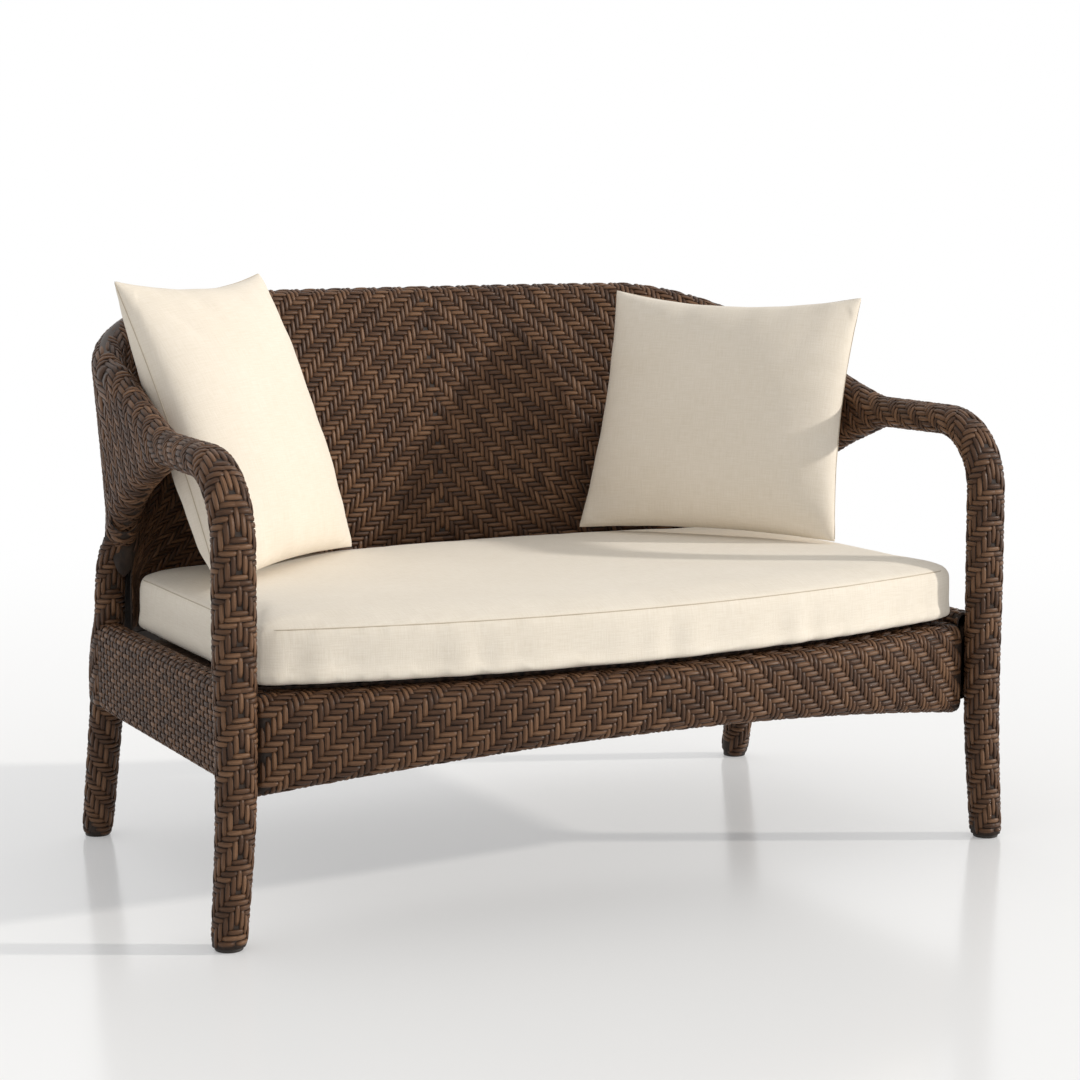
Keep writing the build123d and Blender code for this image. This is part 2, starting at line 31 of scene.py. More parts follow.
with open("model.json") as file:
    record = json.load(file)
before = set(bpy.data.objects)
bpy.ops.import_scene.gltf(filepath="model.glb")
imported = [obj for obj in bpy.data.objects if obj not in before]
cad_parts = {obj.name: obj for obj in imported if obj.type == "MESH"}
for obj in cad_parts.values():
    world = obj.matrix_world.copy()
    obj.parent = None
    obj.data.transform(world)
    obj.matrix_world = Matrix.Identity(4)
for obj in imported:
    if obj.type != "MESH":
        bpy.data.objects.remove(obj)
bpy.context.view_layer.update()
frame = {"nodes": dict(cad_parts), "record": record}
scene = bpy.context.scene
MM = 0.001
ACROSS, FORWARD, REARWARD, UP = Vector((1, 0, 0)), Vector((0, -1, 0)), Vector((0, 1, 0)), Vector((0, 0, 1))

# Places in plan are measured back from the front legs, in millimetres, as in the part's source
FRONT_LEG_Y = -346.5
CELL = 8.2                  # pitch of the strands
SHELL = 46.0                # thickness of the back and the wings
RIM_RADIUS = 23.0
SIDE_X, SIDE_SLOPE = 617.0, 0.042       # the wings' inner face at the front legs, and its draw to the rear
BACK_RUN = 660.0            # the back's inner face, at its middle
BACK_BOW, MORE_BOW = 1875.0, 725.0      # radius of the back's arc at its foot, and its gain up to the rim
BACK_LEAN = 75.0
LEAN_LEVEL, CORNER_LEVEL = 480.0, 440.0
CORNER_RADIUS, MORE_CORNER = 34.0, 88.0
FLARE = (                   # level, the outer face's shift to the rear and its corner's radius
    (225, 55, 40), (300, 53, 45), (340, 42, 55), (385, 22, 65), (440, 0, 80),
)
ARM_LEVEL = 669.0
ARM_SPREAD = 637.0
ARM_BEND = 105.0
ARM_TIP = 262.0             # where the arm passes into the wing
TIP_SIZE = 46               # an arm's width and depth there
ARM_WIDTH, ARM_DEPTH = 59, 42
LEG_SIZES = ((564, 59, 42), (430, 59, 42), (190, 54, 44), (6, 47, 46))     # level, width, depth
LEG_MIDDLES = ((6, 653), (190, 640), (430, 638), (564, 637))               # level, distance from the middle
WINDOW_EDGE = (
    (262, 646), (302, 630), (359, 608), (425, 575), (462, 548), (519, 503), (552, 462), (572, 365), (580, 225),
)
WINDOW_FOOT = WINDOW_EDGE[-1][1]
RIM_TOP = 846
LINE_STEP = 12              # between the points down a face
RIM_LEVELS = (
    (0, 846), (380, 846), (427, 845.5), (465, 841), (503, 835), (542, 826), (581, 814), (619, 800), (656, 785),
    (693, 768.5), (729, 753), (792, 727), (859, 704), (928, 683.5), (977, 671.5), (997, 669),
)


# Shape of the shell
def table_value(table, x):
    """Value at x on a smooth line through the table's points."""
    if x <= table[0][0]:
        return table[0][1]
    if x >= table[-1][0]:
        return table[-1][1]
    k = next(i for i in range(len(table) - 1) if x <= table[i + 1][0])
    (x0, y0), (x1, y1) = table[k], table[k + 1]
    slope = (y1 - y0) / (x1 - x0)

    def tangent(i):
        if i <= 0 or i >= len(table) - 1:
            return slope
        before = (table[i][1] - table[i - 1][1]) / (table[i][0] - table[i - 1][0])
        after = (table[i + 1][1] - table[i][1]) / (table[i + 1][0] - table[i][0])
        return (before + after) / 2

    width = x1 - x0
    t = (x - x0) / width
    a, b = tangent(k) * width, tangent(k + 1) * width
    return (
        (2 * t ** 3 - 3 * t ** 2 + 1) * y0 + (t ** 3 - 2 * t ** 2 + t) * a
        + (3 * t ** 2 - 2 * t ** 3) * y1 + (t ** 3 - t ** 2) * b
    )


def plan_facts(z, offset):
    """The back's arc centre and radius, its corner's radius, hub and two end angles at height z."""
    share = max((z - LEAN_LEVEL) / (RIM_TOP - LEAN_LEVEL), 0)
    bow = BACK_BOW + MORE_BOW * min(share, 1)
    shift, corner = 0.0, CORNER_RADIUS + MORE_CORNER * min(max((z - CORNER_LEVEL) / 100, 0), 1)
    if z < CORNER_LEVEL:
        deep = offset / SHELL
        shift = deep * table_value([(a, b) for a, b, _ in FLARE], z)
        wide = table_value([(a, c) for a, _, c in FLARE], z)
        corner = CORNER_RADIUS + deep * (wide - CORNER_RADIUS - SHELL)
    radius = bow + offset
    centre = BACK_RUN - bow + BACK_LEAN * share ** 1.5 + shift
    corner += offset
    lean = math.hypot(1, SIDE_SLOPE)
    y = 600.0               # a first guess, which the rounds below draw to the hub's place
    for _ in range(8):
        x = SIDE_X + offset - SIDE_SLOPE * y - corner * lean
        y = centre + math.sqrt((radius - corner) ** 2 - x ** 2)
    return centre, radius, corner, (x, y), math.atan2(x, y - centre), math.atan2(1, SIDE_SLOPE)


def plan_point(z, offset, place):
    """Point of the shell's plan at height z. A place is (part, how far): arc, corner or side."""
    centre, radius, corner, hub, turn, side = plan_facts(z, offset)
    part, far = place
    if part == "arc":
        a = turn * far
        return radius * math.sin(a), centre + radius * math.cos(a)
    if part == "corner":
        a = turn + (side - turn) * far
        return hub[0] + corner * math.sin(a), hub[1] + corner * math.cos(a)
    return SIDE_X + offset - SIDE_SLOPE * far, far


# Distances along the rim are measured at this level, in the middle of the shell
REFERENCE = 640.0
_, mid_radius, mid_corner, mid_hub, mid_turn, mid_side = plan_facts(REFERENCE, SHELL / 2)
ARC_LENGTH = mid_radius * mid_turn
CORNER_LENGTH = mid_corner * (mid_side - mid_turn)
SIDE_START = mid_hub[1] + mid_corner * math.cos(mid_side)


def place_at(s):
    """Place in plan at distance s along the rim from the middle of the back."""
    if s <= ARC_LENGTH:
        return "arc", s / ARC_LENGTH
    if s <= ARC_LENGTH + CORNER_LENGTH:
        return "corner", (s - ARC_LENGTH) / CORNER_LENGTH
    return "side", SIDE_START - (s - ARC_LENGTH - CORNER_LENGTH)


def distance_at(run):
    """The same distance for a place on the side."""
    return ARC_LENGTH + CORNER_LENGTH + SIDE_START - run


S_TIP = distance_at(ARM_TIP)
RIM_SHIFT = S_TIP - RIM_LEVELS[-1][0]


def rim_level(s):
    return table_value(RIM_LEVELS, s - RIM_SHIFT * min(s / S_TIP, 1))


def window_level(s):
    """Height of the arm window's edge at s, or of its foot behind it."""
    z = REFERENCE
    while z > WINDOW_FOOT:
        run = plan_point(z, SHELL / 2, place_at(s))[1]
        if run > WINDOW_EDGE[-1][0]:
            return WINDOW_FOOT
        edge = table_value(WINDOW_EDGE, run)
        if z <= edge:
            return edge
        z -= 4
    return WINDOW_FOOT


# Where the back's weave gives way to the wing's, and the nearest line between two strands
JOIN = next(s for s in range(600, 800, 2) if window_level(s) > WINDOW_FOOT + 1)
JOIN_EDGE = (math.floor(JOIN / CELL) + 0.5) * CELL


def lay_out(points):
    """Lengths along a line of points."""
    lengths = [0.0]
    for a, b in zip(points, points[1:]):
        lengths.append(lengths[-1] + (b - a).length)
    return lengths


def resample(points, count, start, end):
    """Points spread evenly from start to end along the line, with the length at each."""
    lengths = lay_out(points)
    result = []
    k = 0
    for i in range(count):
        want = start + (end - start) * i / (count - 1)
        while k < len(points) - 2 and lengths[k + 1] < want:
            k += 1
        t = (want - lengths[k]) / max(lengths[k + 1] - lengths[k], 1e-9)
        result.append((points[k].lerp(points[k + 1], t), want))
    return result


def shell_point(s, z, offset):
    x, run = plan_point(z, offset, place_at(s))
    return Vector((x, FRONT_LEG_Y + run, z))


def half_line(s, inner, bottom, closed):
    """Half of the shell's section, from the middle of its rim down one face. A closed one is rounded below."""
    rim = rim_level(s)
    face_offset = 0.0 if inner else SHELL
    centre = shell_point(s, rim, SHELL / 2)
    outer = shell_point(s, rim, face_offset) - centre
    points = []
    for k in range(9):
        a = math.pi / 2 * k / 8
        points.append(centre + outer * math.sin(a) + Vector((0, 0, RIM_RADIUS * math.cos(a))))
    if closed:
        slope = abs(window_level(max(s, JOIN + 1) + 4) - window_level(max(s - 4, JOIN + 1))) / 8
        cap = min(RIM_RADIUS * math.hypot(1, slope), (rim - bottom) * 0.75)
        low = bottom + cap
        if low < rim - 2:
            steps = max(int((rim - low) / LINE_STEP), 1)
            for k in range(1, steps + 1):
                points.append(shell_point(s, rim + (low - rim) * k / steps, face_offset))
        foot = shell_point(s, min(low, rim), SHELL / 2)
        reach = shell_point(s, min(low, rim), face_offset) - foot
        for k in range(1, 9):
            a = math.pi / 2 * k / 8
            points.append(foot + reach * math.cos(a) - Vector((0, 0, cap * math.sin(a))))
        return points
    steps = int((rim - bottom) / LINE_STEP)
    for k in range(1, steps + 1):
        points.append(shell_point(s, rim + (bottom - rim) * k / steps, face_offset))
    if not inner:
        foot, turned_under, turn = points[-1], 24, 12
        inward = shell_point(s, bottom, 0) - foot
        inward.normalize()
        for k in range(1, 7):
            a = math.pi / 2 * k / 6
            points.append(foot + inward * turn * (1 - math.cos(a)) - Vector((0, 0, turn * math.sin(a))))
        points.append(points[-1] + inward * turned_under)
    return points


def arm_sections():
    """Middle, depth direction, width, depth and distance along an arm, from the wing to the foot."""
    sections = []
    tip_x = plan_point(ARM_LEVEL, SHELL / 2, ("side", ARM_TIP))[0]
    run = ARM_TIP - ARM_BEND
    for k in range(1, 12):
        t = k / 12
        middle = Vector((tip_x + (ARM_SPREAD - tip_x) * t, FRONT_LEG_Y + ARM_TIP - run * t, ARM_LEVEL))
        width, depth = (TIP_SIZE + (size - TIP_SIZE) * t for size in (ARM_WIDTH, ARM_DEPTH))
        sections.append((middle, UP, width, depth, t * run))
    for k in range(0, 17):
        a = math.pi / 2 * k / 16
        level = ARM_LEVEL - ARM_BEND + ARM_BEND * math.cos(a)
        middle = Vector((ARM_SPREAD, FRONT_LEG_Y + ARM_BEND - ARM_BEND * math.sin(a), level))
        outward = Vector((0, -math.sin(a), math.cos(a)))
        sections.append((middle, outward, ARM_WIDTH, ARM_DEPTH, run + ARM_BEND * a))
    bend_end = run + ARM_BEND * math.pi / 2
    top, foot = LEG_SIZES[0][0], LEG_SIZES[-1][0]
    for k in range(1, 47):
        z = top + (foot - top) * k / 46
        high, low = next((a, b) for a, b in zip(LEG_SIZES, LEG_SIZES[1:]) if z >= b[0] - 1e-6)
        t = (high[0] - z) / (high[0] - low[0])
        width, depth = (high[i] + (low[i] - high[i]) * t for i in (1, 2))
        middle = Vector((table_value(LEG_MIDDLES, z), FRONT_LEG_Y, z))
        sections.append((middle, FORWARD, width, depth, bend_end + top - z))
    return sections


def oval_half(middle, top, width, depth, inner):
    """Half of an arm's section, from its top round to its underside."""
    r = 0.485 * min(width, depth)
    side = -1 if inner else 1
    flat = []
    for k in range(17):
        a = math.pi * k / 16
        x = (width / 2 - r) + r * math.sin(a)
        y = (depth / 2 - r if a <= math.pi / 2 else r - depth / 2) + r * math.cos(a)
        flat.append((x, y))
    flat = [(0, depth / 2)] + flat + [(0, -depth / 2)]
    return [middle + ACROSS * (side * x) + top * y for x, y in flat]


# Guide surfaces
def mirrored(v):
    return Vector((-v.x, v.y, v.z))


def add_object(name, data):
    made = bpy.data.objects.new(name, data)
    scene.collection.objects.link(made)
    return made


def surface(name, rows):
    """Mesh over rows of (point, uv, owned), with the map and the normals that the strands follow."""
    n, m = len(rows), len(rows[0])
    mesh = bpy.data.meshes.new(name)
    points = [Vector(p) * MM for row in rows for p, _, _ in row]
    corners = [i * m + j for i in range(n - 1) for j in range(m - 1)]
    mesh.from_pydata(points, [], [(k, k + m, k + m + 1, k + 1) for k in corners])
    normals = []
    for i in range(n):
        for j in range(m):
            along = points[min(i + 1, n - 1) * m + j] - points[max(i - 1, 0) * m + j]
            across = points[i * m + min(j + 1, m - 1)] - points[i * m + max(j - 1, 0)]
            normals.append(along.cross(across).normalized())
    layer = mesh.uv_layers.new(name="lattice")
    places = [uv for row in rows for _, uv, _ in row]
    for loop in mesh.loops:
        u, v = places[loop.vertex_index]
        layer.data[loop.index].uv = (u * MM, v * MM)
    lift = mesh.attributes.new("outward", "FLOAT_VECTOR", "POINT")
    lift.data.foreach_set("vector", [c for v in normals for c in v])
    owned = mesh.attributes.new("owned", "FLOAT", "POINT")
    owned.data.foreach_set("value", [float(o) for row in rows for _, _, o in row])
    return add_object(name, mesh)


class Tree:
    """Node tree with sockets given by name."""

    def __init__(self, tree):
        self.tree = tree

    def add(self, kind, inputs=(), out=0, **settings):
        node = self.tree.nodes.new(kind)
        for key, value in settings.items():
            setattr(node, key, value)
        for key, value in dict(inputs).items():
            if isinstance(key, int):
                socket = node.inputs[key]
            else:
                socket = next(s for s in node.inputs if s.enabled and s.name == key)
            if isinstance(value, bpy.types.NodeSocket):
                self.tree.links.new(value, socket)
            else:
                socket.default_value = value
        return [s for s in node.outputs if s.enabled][out]

    def math(self, operation, a, b=0.0):
        return self.add("ShaderNodeMath", {0: a, 1: b}, operation=operation)

    def plus(self, a, b):
        return self.math("ADD", a, b)

    def minus(self, a, b):
        return self.math("SUBTRACT", a, b)

    def times(self, a, b):
        return self.math("MULTIPLY", a, b)

    def steep(self, a, power):
        """The size of a, raised to a power."""
        return self.math("POWER", self.math("ABSOLUTE", a), power)

    def both(self, a, b):
        return self.add("FunctionNodeBooleanMath", {0: a, 1: b}, operation="AND")

    def combine(self, x, y, z=0.0):
        return self.add("ShaderNodeCombineXYZ", {"X": x, "Y": y, "Z": z})

    def separate(self, vector):
        """The vector's X, Y and Z."""
        node = self.tree.nodes.new("ShaderNodeSeparateXYZ")
        self.tree.links.new(vector, node.inputs[0])
        return node.outputs

    def wave(self, a, length):
        """Sine of a, with this wavelength."""
        return self.math("SINE", self.times(a, 2 * math.pi / length))

    def place(self):
        """Place on the object, in metres."""
        return self.add("ShaderNodeTexCoord", out=3)

    def noise(self, vector, scale, detail=2.0, roughness=0.5):
        return self.add("ShaderNodeTexNoise", {
            "Vector": vector, "Scale": scale, "Detail": detail, "Roughness": roughness,
        })


def weave_tree():
    """Lattice of floats laid over a guide surface: span cells long, each a step on from the last."""
    group = bpy.data.node_groups.new("woven floats", "GeometryNodeTree")
    face = group.interface
    face.new_socket("Guide", in_out="INPUT", socket_type="NodeSocketGeometry")
    for name, kind in (
        ("Columns", "Int"), ("Rows", "Int"), ("Middle U", "Float"), ("Middle V", "Float"), ("Pitch U", "Float"),
        ("Pitch V", "Float"), ("Span", "Int"), ("Strand Width", "Float"), ("Strand Thickness", "Float"),
        ("Rise", "Float"), ("Overlap", "Float"), ("Least U", "Float"), ("Most U", "Float"), ("Seed", "Int"),
    ):
        face.new_socket(name, in_out="INPUT", socket_type="NodeSocket" + kind)
    face.new_socket("Strand", in_out="INPUT", socket_type="NodeSocketMaterial")
    face.new_socket("Weave", in_out="OUTPUT", socket_type="NodeSocketGeometry")
    t = Tree(group)
    start = group.nodes.new("NodeGroupInput").outputs
    guide, pitch_u, pitch_v, span = start["Guide"], start["Pitch U"], start["Pitch V"], start["Span"]
    lattice_map = t.add("GeometryNodeInputNamedAttribute", {"Name": "lattice"}, data_type="FLOAT_VECTOR")
    outward = t.add("GeometryNodeInputNamedAttribute", {"Name": "outward"}, data_type="FLOAT_VECTOR")
    owned = t.add("GeometryNodeInputNamedAttribute", {"Name": "owned"}, data_type="FLOAT")

    def on_guide(value, place, kind, out=0):
        return t.add("GeometryNodeSampleUVSurface", {
            "Mesh": guide, "Value": value, "UV Map": lattice_map, "Sample UV": place,
        }, out=out, data_type=kind)

    size_u = t.times(pitch_u, t.minus(start["Columns"], 1.0))
    size_v = t.times(pitch_v, t.minus(start["Rows"], 1.0))
    grid = t.add(
        "GeometryNodeMeshGrid",
        {"Size X": size_u, "Size Y": size_v, "Vertices X": start["Columns"], "Vertices Y": start["Rows"]},
    )
    middle = t.combine(start["Middle U"], start["Middle V"])
    lattice = t.add("GeometryNodeTransform", {"Geometry": grid, "Translation": middle})
    place = t.add("GeometryNodeInputPosition")
    across_u, across_v, _ = t.separate(place)
    column = t.math("ROUND", t.math("DIVIDE", across_u, pitch_u))
    row = t.math("ROUND", t.math("DIVIDE", across_v, pitch_v))
    step = t.minus(t.math("ABSOLUTE", column), t.math("ABSOLUTE", row))
    phase = t.math("FLOORED_MODULO", step, t.times(span, 2.0))
    half_span = t.times(t.minus(span, 1.0), 0.5)
    past_least = t.math("GREATER_THAN", across_u, start["Least U"])
    short_of_most = t.math("LESS_THAN", across_u, start["Most U"])
    inside = t.both(t.both(past_least, short_of_most), t.math("GREATER_THAN", on_guide(owned, place, "FLOAT"), 0.5))
    overlap = start["Overlap"]
    floats = []
    for lengthways, pitch, turn, seat in (
        (True, pitch_u, 0.0, half_span), (False, pitch_v, math.pi / 2, t.plus(half_span, span)),
    ):
        length = t.times(pitch, t.plus(span, overlap))
        width = t.times(t.math("MINIMUM", pitch_u, pitch_v), start["Strand Width"])
        seated = {"A": phase, "B": seat, "Epsilon": 0.25}
        here = t.both(t.add("FunctionNodeCompare", seated, data_type="FLOAT", operation="EQUAL"), inside)
        for along_sign in (-0.5, 0.5):
            for side_sign in (-0.5, 0.5):
                ends = [t.times(length, along_sign), t.times(width, side_sign)]
                if not lengthways:
                    ends.reverse()
                corner = t.add("ShaderNodeVectorMath", {0: place, 1: t.combine(*ends)}, operation="ADD")
                here = t.both(here, on_guide(owned, corner, "FLOAT", out=1))
        bar = t.add("GeometryNodeMeshCube", {
            "Size": t.combine(length, width, start["Strand Thickness"]),
            "Vertices X": 5, "Vertices Y": 3, "Vertices Z": 2,
        })
        far, aside, high = t.separate(t.add("GeometryNodeInputPosition"))
        along = t.math("DIVIDE", far, t.times(length, 0.5))
        across = t.math("DIVIDE", aside, t.times(width, 0.5))
        arch = t.minus(1.0, t.steep(along, 2.6))
        dome = t.times(t.steep(across, 2.0), -0.55)
        lift = t.times(start["Rise"], arch)
        lift = t.plus(lift, t.times(start["Strand Thickness"], dome))
        narrow = t.minus(1.0, t.times(t.steep(along, 3.0), 0.22))
        shaped = t.combine(far, t.times(aside, narrow), t.plus(high, lift))
        bar = t.add("GeometryNodeStoreNamedAttribute", {
            "Geometry": bar, "Name": "strand", "Value": t.combine(along, across, 0.0 if lengthways else 1.0),
        }, data_type="FLOAT_VECTOR", domain="POINT")
        bar = t.add("GeometryNodeSetPosition", {"Geometry": bar, "Position": shaped})
        floats.append(t.add("GeometryNodeInstanceOnPoints", {
            "Points": lattice, "Selection": here, "Instance": bar, "Rotation": (0.0, 0.0, turn),
        }))
    joined = group.nodes.new("GeometryNodeJoinGeometry")
    for item in reversed(floats):
        group.links.new(item, joined.inputs[0])
    tint = t.add("FunctionNodeRandomValue", {"Min": 0.0, "Max": 1.0, "Seed": start["Seed"]}, data_type="FLOAT")
    tinted = t.add("GeometryNodeStoreNamedAttribute", {
        "Geometry": joined.outputs[0], "Name": "tint", "Value": tint,
    }, data_type="FLOAT", domain="INSTANCE")
    flat = t.add("GeometryNodeRealizeInstances", {"Geometry": tinted})
    flat_u, flat_v, height = t.separate(t.add("GeometryNodeInputPosition"))
    uv = t.combine(flat_u, flat_v)
    base = on_guide(t.add("GeometryNodeInputPosition"), uv, "FLOAT_VECTOR")
    normal = on_guide(outward, uv, "FLOAT_VECTOR")
    raised = t.add("ShaderNodeVectorMath", {0: normal, 3: height}, operation="SCALE")
    final = t.add("ShaderNodeVectorMath", {0: base, 1: raised}, operation="ADD")
    bent = t.add("GeometryNodeSetPosition", {"Geometry": flat, "Position": final})
    smooth = t.add("GeometryNodeSetShadeSmooth", {"Geometry": bent, "Shade Smooth": True})
    dressed = t.add("GeometryNodeSetMaterial", {"Geometry": smooth, "Material": start["Strand"]})
    end = group.nodes.new("NodeGroupOutput")
    group.links.new(dressed, end.inputs[0])
    return group


def set_inputs(modifier, values):
    """Set a tree's inputs by their socket's identifier."""
    for item in modifier.node_group.interface.items_tree:
        if item.item_type == "SOCKET" and item.in_out == "INPUT" and item.name in values:
            modifier[item.identifier] = values[item.name]


def plain_mesh(obj, name):
    """What the object's modifiers make, as a mesh of its own."""
    graph = bpy.context.evaluated_depsgraph_get()
    graph.update()
    shown = obj.evaluated_get(graph)
    mesh = bpy.data.meshes.new_from_object(shown, preserve_all_data_layers=True, depsgraph=graph)
    mesh.name = name
    return add_object(name, mesh)


def in_place_of(obj):
    """What the object's modifiers make, under the same name, with the object itself gone."""
    name = obj.name
    made = plain_mesh(obj, name)
    bpy.data.objects.remove(obj)
    made.name = name
    return made


def wear(obj, material):
    obj.data.materials.clear()
    obj.data.materials.append(material)


def smooth_faces(obj):
    for polygon in obj.data.polygons:
        polygon.use_smooth = True


def weave(
    name, guide, least=None, most=None, pitch=(CELL, CELL), span=3, width=0.86, overlap=0.75, rise=1.9,
    thick=1.3, seed=1,
):
    """Strands over a guide between two distances along it."""
    uvs = [loop.uv for loop in guide.data.uv_layers["lattice"].data]
    low = [min(uv[k] for uv in uvs) / MM for k in (0, 1)]
    high = [max(uv[k] for uv in uvs) / MM for k in (0, 1)]
    first = [math.ceil(low[k] / pitch[k]) for k in (0, 1)]
    last = [math.floor(high[k] / pitch[k]) for k in (0, 1)]
    modifier = guide.modifiers.new("weave", "NODES")
    modifier.node_group = tree
    set_inputs(modifier, {
        "Columns": last[0] - first[0] + 1, "Rows": last[1] - first[1] + 1,
        "Middle U": (first[0] + last[0]) / 2 * pitch[0] * MM,
        "Middle V": (first[1] + last[1]) / 2 * pitch[1] * MM,
        "Pitch U": pitch[0] * MM, "Pitch V": pitch[1] * MM, "Span": span, "Strand Width": width,
        "Strand Thickness": thick * MM, "Rise": rise * MM, "Overlap": overlap,
        "Least U": (low[0] if least is None else least) * MM - 1e-4,
        "Most U": (high[0] if most is None else most) * MM + 1e-4, "Seed": seed, "Strand": strand,
    })
    made = plain_mesh(guide, name)
    guide.modifiers.remove(modifier)
    return made


def core(name, guide, depth=2.0):
    """Closed skin just under the strands, so that nothing shows between them; it wears the painted shade of the
    strands underneath.
    """
    made = guide.copy()
    made.data = guide.data.copy()
    made.name = made.data.name = name
    scene.collection.objects.link(made)
    solid = made.modifiers.new("wall", "SOLIDIFY")
    solid.thickness = depth * MM
    solid.offset = -1
    finished = plain_mesh(made, name)
    bpy.data.objects.remove(made)
    wear(finished, underneath)
    smooth_faces(finished)
    return finished


# Materials
def finish_of(name, roughness, specular=0.5, sheen=0.0):
    """A material with its constant settings on the shader's own sockets."""
    material = bpy.data.materials.new(name)
    material.use_nodes = True
    t = Tree(material.node_tree)
    shader = material.node_tree.nodes["Principled BSDF"]
    shader.inputs["Roughness"].default_value = roughness
    shader.inputs["Specular IOR Level"].default_value = specular
    if sheen:
        shader.inputs["Sheen Weight"].default_value = sheen
        shader.inputs["Sheen Roughness"].default_value = 0.45
    return material, t, shader


def paint(t, shader, tone, stops, height, strength, distance):
    """Colour the shader by tone, along the stops, and raise its surface by height."""
    node = t.tree.nodes.new("ShaderNodeValToRGB")
    t.tree.links.new(tone, node.inputs[0])
    while len(node.color_ramp.elements) < len(stops):
        node.color_ramp.elements.new(0.5)
    for element, (place, color) in zip(node.color_ramp.elements, stops):
        element.position = place
        element.color = (*color, 1.0)
    t.tree.links.new(node.outputs[0], shader.inputs["Base Color"])
    made = t.add("ShaderNodeBump", {"Height": height, "Strength": strength, "Distance": distance})
    t.tree.links.new(made, shader.inputs["Normal"])


def resin_strand():
    """Flat resin strand: streaked along its length, with painted shade at its edges and its ends, so that its top
    reads paler.
    """
    material, t, shader = finish_of("resin strand", 0.46, 0.24)
    place = t.add("ShaderNodeAttribute", out=1, attribute_name="strand")
    tint = t.add("ShaderNodeAttribute", out=2, attribute_name="tint")
    along, across, _ = t.separate(place)
    drawn_out = t.combine(t.times(along, 0.35), t.times(across, 2.6), t.times(tint, 37.0))
    streaks = t.noise(drawn_out, 1.7, 3.0, 0.6)
    tone = t.plus(t.times(streaks, 0.62), t.times(tint, 0.3))
    # Painted shade: the tone darkens towards the strand's edges and its ends, where it dips into the gaps and under
    # the crossing strands.
    tone = t.minus(tone, t.times(t.steep(across, 3.0), 0.16))
    tone = t.minus(tone, t.times(t.steep(along, 4.0), 0.2))
    ribs = t.math("SINE", t.times(across, 7.5))
    height = t.plus(t.times(ribs, 0.35), t.times(streaks, 0.9))
    paint(t, shader, tone, (
        (0.05, (0.016, 0.0075, 0.004)), (0.32, (0.06, 0.027, 0.0125)), (0.52, (0.126, 0.062, 0.03)),
        (0.78, (0.27, 0.15, 0.082)),
    ), height, 0.35, 0.0006)
    return material


def strand_shadow():
    """What shows between the strands: painted shade, near black, for the crossing strands underneath that lie out
    of the light.
    """
    material, t, shader = finish_of("strand underneath in painted shade", 0.6, 0.3)
    tone = t.noise(t.place(), 140.0, 3.0, 0.6)
    # Painted shade: a near-black brown stands in for the strands below, in place of their own colour in shadow.
    paint(t, shader, tone, ((0.3, (0.012, 0.0075, 0.005)), (0.7, (0.035, 0.02, 0.013))), tone, 0.5, 0.001)
    return material


def flat_webbing():
    """Woven resin of the deck and of the CAD's own skins."""
    material, t, shader = finish_of("flat resin webbing", 0.45, 0.45)
    place = t.place()
    x, y, _ = t.separate(place)
    checks = t.times(t.wave(x, 2 * CELL * MM), t.wave(y, 2 * CELL * MM))
    tone = t.plus(t.times(checks, 0.22), t.noise(place, 60.0, 3.0, 0.6))
    stops = ((0.25, (0.02, 0.012, 0.008)), (0.55, (0.085, 0.048, 0.03)), (0.8, (0.14, 0.085, 0.055)))
    paint(t, shader, tone, stops, tone, 0.8, 0.0015)
    return material


def powder_coat():
    material, t, shader = finish_of("brown powder coat", 0.5, 0.5)
    place = t.place()
    orange_peel, cloud = t.noise(place, 900.0, 2.0), t.noise(place, 14.0, 2.0)
    stops = ((0.3, (0.03, 0.018, 0.012)), (0.7, (0.048, 0.03, 0.02)))
    paint(t, shader, cloud, stops, orange_peel, 0.25, 0.0003)
    return material


def moulded_plastic(name, dark, light, roughness):
    material, t, shader = finish_of(name, roughness, 0.45)
    place = t.place()
    grain, scuffs = t.noise(place, 700.0, 3.0, 0.65), t.noise(place, 45.0, 4.0, 0.6)
    paint(t, shader, scuffs, ((0.35, dark), (0.75, light)), grain, 0.3, 0.0003)
    return material


def zip_tape():
    material, t, shader = finish_of("zip tape", 0.75, 0.3)
    coils = t.wave(t.separate(t.place())[0], 0.0014)
    paint(t, shader, coils, ((0.2, (0.42, 0.36, 0.27)), (0.8, (0.62, 0.56, 0.44))), coils, 0.6, 0.0006)
    return material


def linen(name, pale, warm):
    """Cream outdoor fabric with a linen look: uneven threads both ways, over a fine plain weave."""
    material, t, shader = finish_of(name, 0.85, 0.25, 0.2)
    place = t.separate(t.add("ShaderNodeUVMap", uv_map="cloth"))
    threads = []
    for across, along in ((0, 1), (1, 0)):
        drawn_out = t.combine(t.times(place[across], 620.0), t.times(place[along], 34.0), 3.0 + across)
        threads.append(t.noise(drawn_out, 1.0, 3.0, 0.6))
    slubs = t.times(t.plus(*threads), 0.5)
    plain_weave = t.times(t.wave(place[0], 0.0017), t.wave(place[1], 0.0017))
    shade = t.noise(t.place(), 9.0, 3.0)
    tone = t.plus(t.times(slubs, 0.85), t.times(shade, 0.15))
    height = t.plus(t.times(slubs, 1.6), t.times(plain_weave, 0.25))
    paint(t, shader, tone, ((0.36, warm), (0.62, pale)), height, 0.4, 0.0006)
    return material


strand = resin_strand()
underneath = strand_shadow()
webbing = flat_webbing()
coat = powder_coat()
glide_plastic = moulded_plastic("glide plastic", (0.012, 0.009, 0.007), (0.03, 0.024, 0.019), 0.55)
slider_plastic = moulded_plastic("slider plastic", (0.5, 0.44, 0.34), (0.62, 0.56, 0.45), 0.35)
tape = zip_tape()
cushion_linen = linen("cushion linen", (0.88, 0.81, 0.70), (0.79, 0.71, 0.59))
pillow_linen = linen("pillow linen", (0.85, 0.775, 0.67), (0.77, 0.69, 0.57))
seam_thread = linen("seam", (0.6, 0.52, 0.4), (0.5, 0.42, 0.32))


